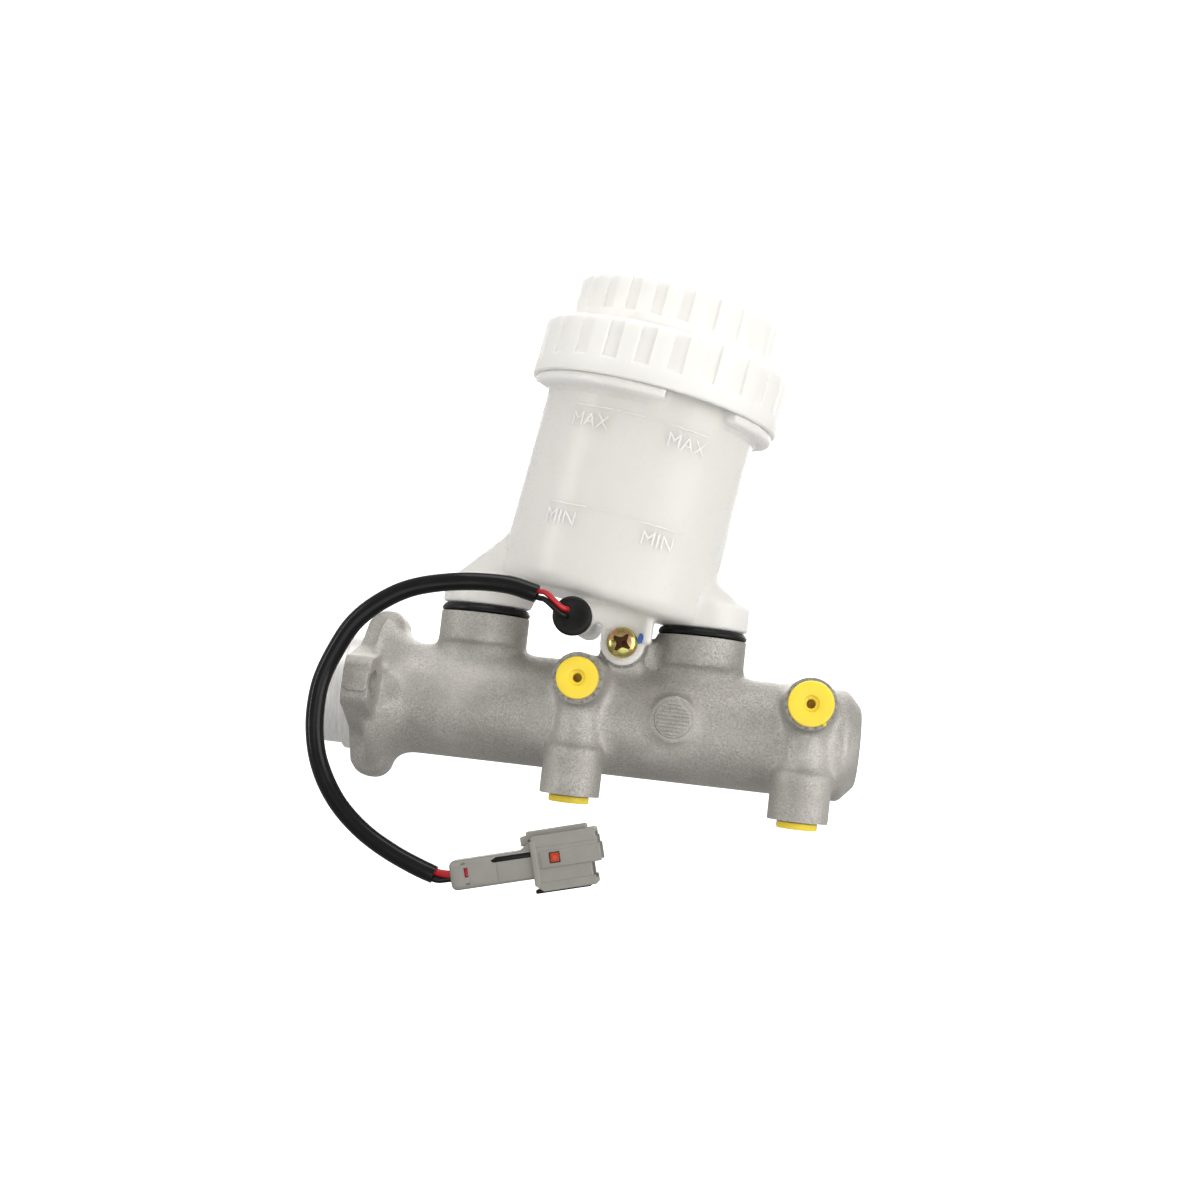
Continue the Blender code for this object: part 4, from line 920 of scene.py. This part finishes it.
def make_casting():
    voxel = voxel_size()
    made = fused("casting", casting_shapes(), voxel)
    combined(made, spot_faces(), "DIFFERENCE")
    remeshed(made, voxel)
    soften(made, 76, 4)
    pads = []
    for side in (-1, 1):
        tip = side * (LUG_TIP + LUG_PAD_HEIGHT + 0.0004)
        low = (0.0007, min(tip, side * 0.031), -LUG_PAD / 2)
        high = (0.0007 + LUG_PAD, max(tip, side * 0.031), LUG_PAD / 2)
        pad = block(low, high)
        upright = [e for e in pad.edges if abs((e.verts[0].co - e.verts[1].co).y) > 1e-6]
        bevelled(pad, upright, 0.0018, 5)
        rim = [e for e in pad.edges if all(abs(v.co.y - tip) < 1e-6 for v in e.verts)]
        bevelled(pad, rim, 0.0004, 3)
        pads.append(moved(pad, Matrix.Rotation(-FLANGE_TWIST, 4, "X")))
    combined(made, pads, "UNION")
    combined(made, machined_cuts(), "DIFFERENCE")
    piece(made, "cast_aluminium", stands_for=["cylinder_body"], angle=35)
    mark_machined(made)


def make_pad():
    """The round inspection pad's face, with level ridges."""
    shape = bmesh.new()
    radius, rings, sides = 0.0063, 44, 120
    rows = []
    for ring in range(rings + 1):
        share = ring / rings
        row = []
        for angle in around(sides if ring else 1):
            x, z = share * radius * cos(angle), share * radius * sin(angle)
            inside = min(1.0, max(0.0, (0.90 - share) / 0.06))
            ridge = (0.5 + 0.5 * cos(2 * pi * z / 0.00125)) ** 2
            edge = 0.0004 * max(0.0, (share - 0.94) / 0.06) ** 2
            y = -0.01985 - 0.00035 * ridge * inside + edge
            row.append(shape.verts.new((PAD_X + x, y, PAD_Z + z)))
        rows.append(row)
    base = [shape.verts.new((v.co.x, -0.0190, v.co.z)) for v in rows[-1]]
    skinned(shape, [*rows, base])
    shape.faces.new(base)
    piece(as_object("inspection_pad", sealed(shape)), "cast_aluminium", angle=50)


# ---------------------------------------------------------------- inside the bore


def spring_shape(start, end, coil_radius, wire_radius, turns):
    """A compression spring with its end turns closed up."""
    path = []
    steps = 36 * turns
    for step in range(steps + 1):
        share = step / steps
        eased = share - 0.055 * sin(2 * pi * share)
        angle = 2 * pi * turns * share
        along = start + (end - start) * eased
        path.append(Vector((along, coil_radius * sin(angle), coil_radius * cos(angle))))
    return tube(path, wire_radius, 12)


def make_springs():
    for name, body, start, end, coil, joint, anchor, keep in (
        ("primary_spring", "primary_piston", 0.0392, 0.0762, 0.0078, "primary_stroke", 0.0380, 0.644),
        ("secondary_spring", "root", 0.1186, 0.1552, 0.0082, "secondary_stroke", 0.1564, 0.641),
    ):
        made = as_object(name + "_coil", spring_shape(start, end, coil, 0.0011, 5))
        piece(made, "spring_steel", body, stands_for=[name], angle=60)
        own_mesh(made)


# ---------------------------------------------------------------- ports


PLUG_WIDENING = {("primary", "side"): 0.0002, ("secondary", "side"): 0.0007}


def make_plugs():
    """Push-in transit plugs: dished head with a stepped centre hole over a ribbed shank."""
    shank = PORT_THREAD_RADIUS - GAP
    profile = [
        (-0.0085, 0), (-0.0085, shank - 0.0009), (-0.0076, shank - 0.0001), (-0.0060, shank),
        (-0.0055, shank - 0.0004), (-0.0040, shank), (-0.0035, shank - 0.0004), (-0.0020, shank),
        (GAP, shank), (GAP, 0.0064), (0.0006, 0.0067), (0.0021, 0.0067), (0.0025, 0.0065), (0.0026, 0.0062),
        (0.0026, 0.0029), (0.0025, 0.0027), (0.0015, 0.0025), (0.0014, 0.0023), (0.0014, 0.0017),
        (0.0012, 0.0015), (-0.0060, 0.0014), (-0.0060, 0),
    ]
    for station, x in STATIONS.items():
        side = Vector((x, SIDE_PORT_FACE, SIDE_PORT_Z))
        down = Vector((x, DOWN_PORT_Y, DOWN_PORT_FACE))
        for place, face, out in (("side", side, OUTWARD), ("down", down, DOWN)):
            node = f"{station}_{place}_port_plug"
            wider = PLUG_WIDENING.get((station, place), 0)
            head = [(height, radius + wider if radius > 0.006 else radius) for height, radius in profile]
            moulding = [turned(head, face, out, 80)]
            if wider == max(PLUG_WIDENING.values()):
                low = face + Vector((0.0042, -0.0020, -0.0066))
                moulding.append(block(low, low + Vector((0.0012, 0.0012, 0.0012)), 0.0003))
            made = as_object(node + "_moulding", joined(moulding))
            piece(made, "yellow_plastic", node, stands_for=[node], angle=40)


# ---------------------------------------------------------------- reservoir


LEGS = ((INLETS[0], -1), (INLETS[1], 1))


def leg_circles(x, side, shrink=0.0):
    rise = 0.0408 if side < 0 else 0.0425
    height = 0.0605 if side < 0 else 0.0575
    return [
        (x, 0, LEG_BOTTOM + shrink, INLET_RADIUS - shrink), (x, 0, rise, INLET_RADIUS - shrink),
        (x - side * 0.0022, 0, rise + 0.0036, 0.0128 - shrink),
        (x - side * 0.0150, 0, height, 0.0095 - shrink),
    ]


def reservoir_shapes():
    outside = [
        (RESERVOIR_FLOOR, 0), (RESERVOIR_FLOOR, RESERVOIR_RADIUS - 0.0050),
        (RESERVOIR_FLOOR + 0.0005, RESERVOIR_RADIUS - 0.0028),
        (RESERVOIR_FLOOR + 0.0014, RESERVOIR_RADIUS - 0.0013),
        (RESERVOIR_FLOOR + 0.0028, RESERVOIR_RADIUS - 0.0004), (RESERVOIR_FLOOR + 0.0048, RESERVOIR_RADIUS),
        (NECK_TOP, RESERVOIR_RADIUS), (NECK_TOP, 0),
    ]
    yield moved(turned(outside, ORIGIN, UP, 180), LEANING)
    for x, side in LEGS:
        yield hull(leg_circles(x, side), 96)
        yield rod((x, 0, NIPPLE_BOTTOM), (x, 0, 0.036), NIPPLE_RADIUS, 64)
    length = SENSOR_REAR - SENSOR_FRONT
    tube_profile = [(0, 0), (0, SENSOR_RADIUS), (length - 0.004, SENSOR_RADIUS)]
    tube_profile += [
        (length - 0.0020, SENSOR_RADIUS * 0.88), (length - 0.0007, SENSOR_RADIUS * 0.55), (length, 0),
    ]
    yield turned(tube_profile, (SENSOR_X, SENSOR_FRONT, SENSOR_Z), Y, 64)
    yield block((SENSOR_X - 0.0022, -0.026, SENSOR_Z), (SENSOR_X + 0.0022, 0.026, 0.0415))
    yield rod((SCREW_X, TAB_REAR, SCREW_Z), (SCREW_X, TAB_FRONT, SCREW_Z), TAB_HALF_WIDTH, 64)
    low = (SCREW_X - TAB_HALF_WIDTH, TAB_FRONT, SCREW_Z)
    yield block(low, (SCREW_X + TAB_HALF_WIDTH, TAB_REAR, 0.0395))
    yield block((SENSOR_X, TAB_FRONT, SENSOR_Z + 0.0002), (SCREW_X, TAB_REAR, 0.0405))
    rib_low = (SCREW_X + TAB_HALF_WIDTH - 0.0004, -0.018, 0.0262)
    yield block(rib_low, (SCREW_X + TAB_HALF_WIDTH + 0.0022, TAB_REAR - 0.0002, 0.0395))
    for number in range(3):
        start = NECK_LUG_END - NECK_LUG_SPAN + 2 * pi * number / 3
        for radius, top in ((NECK_LUG_RADIUS, NECK_LUG_HIGH), (NECK_FOOT_RADIUS, CAP_RIM - GAP)):
            yield moved(arc_band(NECK_LUG_ROOT, radius, NECK_LUG_LOW, top, start, NECK_LUG_SPAN), LEANING)


def reservoir_cuts():
    inner = RESERVOIR_RADIUS - WALL
    bottom = RESERVOIR_FLOOR + WALL
    profile = [
        (bottom, 0), (bottom, inner - 0.002), (bottom + 0.0006, inner - 0.0006), (bottom + 0.002, inner),
    ]
    profile += [
        (NECK_TOP - 0.0003, inner), (NECK_TOP - 0.0003, 0.05), (NECK_TOP + 0.004, 0.05),
        (NECK_TOP + 0.004, 0),
    ]
    yield moved(turned(profile, ORIGIN, UP, 128), LEANING)
    for x, side in LEGS:
        yield hull(leg_circles(x, side, WALL), 64)
        yield rod((x, 0, NIPPLE_BOTTOM - 0.002), (x, 0, 0.040), NIPPLE_BORE, 48)
    start, end = SENSOR_FRONT - 0.001, SENSOR_REAR - 0.004
    yield rod((SENSOR_X, start, SENSOR_Z), (SENSOR_X, end, SENSOR_Z), SENSOR_BORE, 32)
    yield rod((SCREW_X, TAB_REAR + 0.001, SCREW_Z), (SCREW_X, TAB_FRONT - 0.001, SCREW_Z), 0.0028, 32)


def true_up(made, margin=0.00035):
    """Puts the tank's wall back on its exact radius after the softening."""
    inverse = LEANING.inverted()
    for vertex in made.data.vertices:
        local = inverse @ vertex.co
        radius = hypot(local.x, local.y)
        if 0.012 < local.z < NECK_LUG_LOW - 0.002 and abs(radius - RESERVOIR_RADIUS) < margin:
            local.x, local.y = local.x * RESERVOIR_RADIUS / radius, local.y * RESERVOIR_RADIUS / radius
            vertex.co = LEANING @ local


def make_reservoir():
    made = fused("tank", reservoir_shapes(), voxel_size())
    soften(made, 55, 4)
    true_up(made)
    combined(made, reservoir_cuts(), "DIFFERENCE")
    return piece(made, "milky_plastic", stands_for=["reservoir"], angle=40)


LEVELS = (("MAX", 0.0655), ("MIN", 0.0325))


def make_level_marks():
    """Faintly raised MAX and MIN marks and level lines, wrapped on the tank's wall."""
    flat = bmesh.new()

    def take(mesh):
        flat.from_mesh(mesh)
        bpy.data.meshes.remove(mesh)

    def take_block(low, high):
        take(as_mesh("bar", block(low, high, 0.00005, 2)))

    spots = (radians(-37) * RESERVOIR_RADIUS, radians(17) * RESERVOIR_RADIUS)
    for text, height in LEVELS:
        for along in spots:
            curve = bpy.data.curves.new("mark", "FONT")
            curve.body = text
            curve.size = 0.0068
            curve.extrude = 0.00009
            curve.resolution_u = 4
            made = linked("mark", curve)
            bpy.context.view_layer.update()
            mesh = bpy.data.meshes.new_from_object(made)
            low = min(v.co.x for v in mesh.vertices)
            for vertex in mesh.vertices:
                vertex.co.x += along - low
                vertex.co.y += height - 0.0062
            take(mesh)
            bpy.data.objects.remove(made)
            bpy.data.curves.remove(curve)
            take_block((along - 0.0006, height + 0.0005, -0.0002), (along + 0.0140, height + 0.0009, 0.00010))
        take_block(
            (spots[0] + 0.0146, height + 0.0006, -0.0002), (spots[1] - 0.0012, height + 0.0008, 0.00006),
        )
    for _ in range(5):
        long_edges = [e for e in flat.edges if abs(e.verts[0].co.x - e.verts[1].co.x) > 0.0018]
        if long_edges:
            bmesh.ops.subdivide_edges(flat, edges=long_edges, cuts=1)
    bmesh.ops.triangulate(flat, faces=flat.faces)
    for vertex in flat.verts:
        turn = vertex.co.x / RESERVOIR_RADIUS
        radius = RESERVOIR_RADIUS + vertex.co.z
        vertex.co = (radius * sin(turn), -radius * cos(turn), vertex.co.y)
    piece(as_object("level_marks", moved(flat, LEANING)), "level_mark", slot="milky_plastic", angle=40)


def make_grommets():
    for name, x in zip(("rear", "front"), INLETS):
        top, inner = LEG_BOTTOM - GAP, NIPPLE_RADIUS + GAP
        outer = INLET_SOCKET_RADIUS - GAP
        profile = [
            (INLET_SOCKET_FLOOR + GAP, inner), (INLET_SOCKET_FLOOR + GAP, outer), (INLET_TOP + GAP, outer),
            (INLET_TOP + GAP, INLET_RADIUS - 0.0006), (INLET_TOP + 0.0004, INLET_RADIUS - 0.0002),
            (INLET_TOP + 0.0008, INLET_RADIUS), (INLET_TOP + 0.0014, INLET_RADIUS + 0.0001),
            (top - 0.0012, INLET_RADIUS - 0.0001), (top - 0.0006, INLET_RADIUS - 0.0004),
            (top - 0.0002, INLET_RADIUS - 0.0008), (top, INLET_RADIUS - 0.0013), (top, inner),
        ]
        made = as_object(f"{name}_grommet_ring", turned(profile, (x, 0, 0), UP, 96, ring=True))
        piece(made, "black_rubber", stands_for=[f"{name}_grommet"], angle=50)


def make_screw():
    """Pan-head screw with a cross recess, over a threaded shank."""
    seat = TAB_FRONT - GAP
    at = Vector((SCREW_X, seat, SCREW_Z))
    profile = [(-0.0130, 0), (-0.0130, 0.0016)]
    for turn in range(14):
        profile += [(-0.0126 + turn * 0.0008, 0.0021), (-0.0122 + turn * 0.0008, 0.0017)]
    profile += [(0, 0.0020), (0, 0.0048), (0.0002, 0.0052), (0.0009, 0.0052), (0.0016, 0.0049)]
    profile += [(0.0023, 0.0042), (0.0028, 0.0031), (0.0031, 0.0016), (0.0031, 0)]
    made = as_object("screw_head", turned(profile, at, OUTWARD, 64))
    cuts = []
    for turn in (32, 122):
        outline = [(-0.0033, 0.0004), (-0.0016, 0.0010), (0.0016, 0.0010), (0.0033, 0.0004)]
        outline += [(along, -across) for along, across in reversed(outline)]
        slot = plate(outline, -0.0050, -0.0011, axis=1)
        turning = Matrix.Translation(at) @ Matrix.Rotation(radians(turn), 4, "Y")
        cuts.append(moved(slot, turning))
    cuts.append(turned([(0.0008, 0), (0.0012, 0.0013), (0.0050, 0.0024), (0.0050, 0)], at, OUTWARD, 24))
    combined(made, cuts, "DIFFERENCE")
    made.data.materials.clear()
    piece(made, "zinc_gold", stands_for=["reservoir_screw"], angle=35)
    # The faces deep in the cross recess take a near-black brown: painted shade.
    made.data.materials.append(FINISHES["painted_recess_shade"])
    crown = [row for row in profile if row[0] >= 0.0009]
    flags = []
    for face in made.data.polygons:
        height = seat - face.center.y
        radius = hypot(face.center.x - SCREW_X, face.center.z - SCREW_Z)
        outside = max((h for h, r in crown if r >= radius), default=0)
        flags.append(1 if radius < 0.0036 and 0.0005 < height < outside - 0.0002 else 0)
    made.data.polygons.foreach_set("material_index", flags)


def make_boot():
    """Rubber boot: a front disc, a groove and a skirt over the sensor tube."""
    pocket = SENSOR_FRONT - GAP - BOOT_FACE
    profile = [
        (0.0003, 0), (0.0003, 0.0034), (0.0001, 0.0039), (0, 0.0050), (0.0002, 0.0059), (0.0007, 0.00635),
        (0.0013, BOOT_RADIUS), (0.0022, BOOT_RADIUS - 0.0001), (0.0027, BOOT_RADIUS - 0.0005),
        (0.0031, BOOT_RADIUS - 0.0012), (0.0035, BOOT_RADIUS - 0.0006), (0.0042, BOOT_RADIUS - 0.0003),
        (0.0062, BOOT_RADIUS - 0.0003), (0.0068, BOOT_RADIUS - 0.0006), (BOOT_LENGTH, BOOT_RADIUS - 0.0011),
        (BOOT_LENGTH, SENSOR_RADIUS + GAP), (pocket, SENSOR_RADIUS + GAP), (pocket, 0),
    ]
    made = as_object("sensor_boot_moulding", turned(profile, (SENSOR_X, BOOT_FACE, SENSOR_Z), Y, 80))
    piece(made, "black_rubber", stands_for=["sensor_boot"], angle=50)


def make_paint_dab(tank):
    """A brushed dab of blue assembly paint, laid on the tab beside the screw."""
    tree = BVHTree.FromObject(tank, bpy.context.evaluated_depsgraph_get())
    shape = bmesh.new()
    rows = []
    for ring in range(9):
        share = min(1, ring / 7)
        row = []
        for angle in around(28 if ring else 1):
            ragged = 1 + 0.35 * noise.noise(Vector((cos(angle), sin(angle), 0.3)) * 1.7)
            x = SCREW_X + 0.0060 + share * 0.0009 * ragged * cos(angle)
            z = SCREW_Z + 0.0020 + share * 0.0017 * ragged * sin(angle)
            met = tree.ray_cast(Vector((x, -0.1, z)), Y)[0]
            lift = 0.00003 + 0.00012 * (1 - share**3) if ring < 8 else -0.0001
            row.append(shape.verts.new((x, (met.y if met else TAB_FRONT) - lift, z)))
        rows.append(row)
    skinned(shape, rows)
    piece(as_object("paint_dab", sealed(shape)), "blue_paint", slot="milky_plastic", angle=80)


# ---------------------------------------------------------------- cap


def make_cap():
    """Two-tier cap with upright grip recesses that run out at the top of each tier."""
    deck = CAP_SHOULDER - CAP_WALL
    inside, crown_inside = CAP_RADIUS - CAP_WALL, CAP_CROWN_RADIUS - CAP_WALL
    outer = [
        (CAP_RIM, inside + 0.0004), (CAP_RIM, CAP_RADIUS - 0.0006), (CAP_RIM + 0.0002, CAP_RADIUS - 0.0002),
    ]
    outer += [(CAP_RIM + 0.0006, CAP_RADIUS)]

    def wall(radius, low, high, band):
        foot = low + band
        offsets = (-0.0006, -0.0002, 0, 0.0002, 0.0004, 0.0007, 0.0011, 0.0016, 0.0022)
        heights = [foot + offset for offset in offsets]
        above = [foot + 0.003 + step * 0.001 for step in range(40)]
        heights += [height for height in above if height < high - 0.0022]
        return [(height, radius) for height in heights]

    def rounding(radius, top, size):
        rows = []
        for step in range(7):
            angle = radians(90) * step / 6
            rows.append((top - size + size * sin(angle), radius - size + size * cos(angle)))
        return rows

    outer += wall(CAP_RADIUS, CAP_RIM, CAP_SHOULDER, RIM_BAND)
    outer += rounding(CAP_RADIUS, CAP_SHOULDER, 0.0016)
    outer += [(CAP_SHOULDER, CAP_CROWN_RADIUS + 0.0030), (CAP_SHOULDER, CAP_CROWN_RADIUS + 0.0016)]
    outer += [(CAP_SHOULDER + 0.0003, CAP_CROWN_RADIUS + 0.0006), (CAP_SHOULDER + 0.0010, CAP_CROWN_RADIUS)]
    tier = len(outer)
    outer += wall(CAP_CROWN_RADIUS, CAP_SHOULDER, CAP_TOP, CROWN_BAND)
    outer += rounding(CAP_CROWN_RADIUS, CAP_TOP, 0.0014)
    outer += [
        (CAP_TOP, CAP_CROWN_RADIUS - 0.0022), (CAP_TOP, 0.026), (CAP_TOP, 0.018), (CAP_TOP, 0.010),
        (CAP_TOP, 0),
    ]
    inner = [
        (CAP_TOP - CAP_WALL, 0), (CAP_TOP - CAP_WALL, crown_inside), (deck, crown_inside), (deck, inside),
    ]
    inner += [(CAP_RIM + 0.0004, inside)]
    profile = inner + outer
    offsets = (0, 0.1, 0.18, 0.215, 0.232, 0.246, 0.26, 0.278, 0.31, 0.37, 0.44)
    fractions = [*offsets, 0.5, *[1 - value for value in reversed(offsets[1:])]]
    angles = [(number + share) / CAP_GRIPS * 2 * pi for number in range(CAP_GRIPS) for share in fractions]
    shape = bmesh.new()

    def sunk(height, radius, share, place):
        """Radius after the grip recess, whose lower corners are round."""
        for nominal, low, first, last in (
            (CAP_RADIUS, CAP_RIM + RIM_BAND, 0, tier),
            (CAP_CROWN_RADIUS, CAP_SHOULDER + CROWN_BAND, tier, len(outer)),
        ):
            if not first <= place < last or height < low - 0.0002 or radius < nominal - CAP_ROUNDED:
                continue
            half = nominal * 2 * pi / CAP_GRIPS / 4
            across = half - abs(share - 0.5) * 4 * half
            above = height - low
            corner = 0.0005
            if across < corner and above < corner:
                inward = corner - hypot(corner - across, corner - above)
            else:
                inward = min(across, above)
            depth = min(1.0, max(0.0, inward / 0.00035))
            depth = depth * depth * (3 - 2 * depth)
            if radius > nominal - 0.0001:
                return min(radius, nominal - GRIP_DEPTH * depth)
            return radius - GRIP_DEPTH * depth * max(0, (radius - nominal + CAP_ROUNDED) / CAP_ROUNDED)
        return radius

    rows = []
    for place, (height, radius) in enumerate(profile):
        row = []
        if radius == 0:
            row.append(shape.verts.new((0, 0, height)))
        else:
            for number, angle in enumerate(angles):
                share = fractions[number % len(fractions)]
                width = sunk(height, radius, share, place - len(inner)) if place >= len(inner) else radius
                turn = CROWN_GRIP_TURN if height > CAP_SHOULDER + 0.0005 else RIM_GRIP_TURN
                bearing = angle - pi / CAP_GRIPS + turn
                row.append(shape.verts.new((width * cos(bearing), width * sin(bearing), height)))
        rows.append(row)
    skinned(shape, rows)
    made = as_object("cap_moulding", moved(sealed(shape), LEANING))
    piece(made, "white_plastic", "cap", stands_for=["cap"], angle=40)


# ---------------------------------------------------------------- lead


def make_lead():
    route = smooth_path([Vector((x, LEAD_Y, z)) for x, z in SLEEVE_ROUTE], 0.0016)
    sleeve = as_object("lead_sleeve", tube(route, SLEEVE_RADIUS - 0.00006, 32, 0.0045, 0.00045, 0.00008))
    piece(sleeve, "black_sleeve", stands_for=["harness_sleeve"], angle=50)
    start, end = route[0], route[-1]
    leaving, arriving = (start - route[1]).normalized(), (end - route[-2]).normalized()
    boot = Vector((SENSOR_X - 0.0018, BOOT_FACE - GAP - 0.0002, SENSOR_Z + 0.0008))
    parts = []
    for name, shift, finish in (("red", 0.0011, "red_wire"), ("black", -0.0011, "black_sleeve")):
        offset = UP * shift
        near = [
            start - leaving * 0.0040 + offset, start + leaving * 0.0006 + offset,
            start + leaving * 0.0030 + offset, boot - X * 0.0018 - Y * 0.0024 + offset + Z * 0.0005,
            boot - Y * 0.0008 + offset, boot + Y * 0.0009 + offset,
        ]
        rear = CONNECTOR_AT + (OUTWARD * 0.0006 + UP * 0.0004 if shift > 0 else Y * 0.0006 - UP * 0.0010)
        far = [
            end - arriving * 0.0040 + offset, end + arriving * 0.0006 + offset,
            (end + offset).lerp(rear, 0.55) - Z * 0.0002, rear - X * 0.0006, rear + X * 0.0012,
        ]
        for place, points in (("sensor", near), ("connector", far)):
            radius = WIRE_RADIUS + (0.0004 if place == "connector" else 0.0001)
            made = as_object(f"{name}_wire_{place}_end", tube(smooth_path(points, 0.0006), radius, 20))
            piece(made, finish, stands_for=[f"{name}_wire_at_{place}"], angle=60)
            parts.append(made)
    return sleeve, route, parts


def even_bar(start, end, half_width, low, high, bevel, segments=3):
    """A rounded box along X, even on both sides of Y."""
    return block((start, -half_width, low), (end, half_width, high), bevel, segments)


def make_connector():
    """Two-way connector: round-edged tail, stepped hood with ribs, latch and lock window."""
    tail, front = CONNECTOR_TAIL, CONNECTOR_LENGTH
    gusset = [(tail - 0.0052, 0.0040), (tail + 0.001, 0.0040), (tail + 0.001, 0.0082)]
    shapes = [
        even_bar(0, tail + 0.001, 0.0050, -0.0047, 0.0047, 0.0019, 5),
        even_bar(tail - 0.0002, front - 0.0035, 0.0058, -0.0084, 0.0084, 0.0006),
        even_bar(tail - 0.0006, tail + 0.0014, 0.0062, -0.0080, 0.0070, 0.0006),
        even_bar(tail + 0.0022, front - 0.0003, 0.0062, -0.0018, 0.0036, 0.0003),
        even_bar(tail + 0.0002, front - 0.0012, 0.0060, 0.0046, 0.0086, 0.0005),
        even_bar(tail + 0.0002, front - 0.0008, 0.0059, -0.0018, 0.0060, 0.0004),
        even_bar(tail + 0.0010, front - 0.0028, 0.0062, -0.0088, -0.0060, 0.0004),
        even_bar(tail - 0.0036, tail - 0.0008, 0.0030, 0.0058, 0.0088, 0.0004),
        even_bar(tail - 0.0016, front - 0.0040, 0.0032, 0.0074, 0.0101, 0.0004),
        plate(gusset, -0.0040, -0.0030, 1),
        plate(gusset, 0.0030, 0.0040, 1),
    ]
    made = as_object("connector_shell", shapes[0])
    combined(made, shapes[1:], "UNION")
    window_low, neck = (tail + 0.0050, -0.0080, -0.0005), tail - 0.0007
    slot = [(0.0135, 0.0030), (0.0152, 0.0039), (neck, 0.0039), (neck, 0.0023), (0.0142, 0.0023)]
    side_recess = [(0.0150, 0.0023), (neck, 0.0023), (neck, -0.0060), (0.0150, -0.0060)]
    throat = [(tail - 0.0030, -0.0100), (tail + 0.0036, -0.0100), (tail - 0.0030, -0.0046)]
    cuts = [
        even_bar(front - 0.0140, front + 0.002, 0.0048, -0.0072, 0.0072, 0.0004),
        block(window_low, (tail + 0.0085, -0.0046, 0.0030), 0.0002),
        plate(slot, -0.0070, -0.0014, 1),
        plate(side_recess, -0.0070, -0.00465, 1),
        plate(throat, -0.0070, 0.0070, 1),
        block((0.0036, -0.0060, -0.0036), (0.0066, -0.0049, 0.0040), 0.0001),
        block((0.0047, -0.0060, -0.0010), (0.0060, -0.0039, 0.0020), 0.0001),
        block((0.0040, -0.0060, 0.0031), (0.0054, -0.0044, 0.0037), 0.0001),
        block((0.0048, -0.0060, -0.0033), (0.0061, -0.0044, -0.0027), 0.0001),
        even_bar(tail - 0.0028, tail - 0.0014, 0.0018, 0.0064, 0.0100, 0.0002),
    ]
    for z in (0.0022, -0.0022):
        cuts.append(rod((0.0040, 0, z), (front - 0.013, 0, z), 0.0012, 24))
        cuts.append(rod((-0.001, 0, z), (0.0045, 0, z), 0.0018, 32))
    combined(made, cuts, "DIFFERENCE")
    made.data.transform(RISING)
    piece(made, "grey_plastic", stands_for=["connector_housing"], angle=35)
    lock = block((tail + 0.0053, -0.0056, -0.0002), (tail + 0.0082, -0.0048, 0.0027), 0.0002)
    ramp = block((tail + 0.0058, -0.0059, 0.0004), (tail + 0.0076, -0.0054, 0.0020), 0.0002)
    lock_piece = as_object("lock_insert", joined([moved(lock, RISING), moved(ramp, RISING)]))
    piece(lock_piece, "orange_plastic", stands_for=["connector_lock"], angle=35)
    web_block = block((0.0045, -0.0042, -0.0014), (0.0063, -0.0034, 0.0024), 0.0003)
    web = as_object("seal_web", moved(web_block, RISING))
    piece(web, "red_wire", angle=35)
    # slot_shade_block is painted shade: a black rubber block filling the back of the latch slot so that it
    # reads dark. The lip is a dark strip along the underside of the hood.
    slot_shade_block = block((0.0148, -0.0046, 0.0024), (tail - 0.0009, -0.0018, 0.0037), 0.0002)
    lip = even_bar(tail - 0.0008, front - 0.0048, 0.0048, -0.0093, -0.0080, 0.0004)
    dark = as_object("connector_lip_and_slot_shade", joined([moved(slot_shade_block, RISING), moved(lip, RISING)]))
    piece(dark, "black_rubber", angle=35)
    return [made, lock_piece, web, dark]


# ---------------------------------------------------------------- assembly


def finish_nodes(frame):
    """Gives every CAD node that still shows a detailed version of its own finish."""
    for thing in frame["nodes"].values():
        for slot in () if thing.hide_render else thing.material_slots:
            name = slot.material.name.split(".")[0] if slot.material else ""
            if name in FINISHES:
                slot.material = FINISHES[name]


def main():
    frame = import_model()
    cad_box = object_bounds()
    bpy.context.scene.view_settings.view_transform = "Standard"
    FINISHES.update(make_finishes())
    make_camera()
    make_lights()
    make_surroundings()
    make_stage()
    sleeve, route, wires = make_lead()
    connector = make_connector()
    tuple(route[0])
    [tuple(point) for point in route]
    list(wires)
    make_casting()
    make_pad()
    make_springs()
    make_plugs()
    tank = make_reservoir()
    make_level_marks()
    make_grommets()
    make_screw()
    make_boot()
    make_paint_dab(tank)
    make_cap()
    finish_nodes(frame)
    boxes = {"cad": cad_box, "visual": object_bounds()}
    {name: [list(corner) for corner in box] for name, box in boxes.items()}


main()
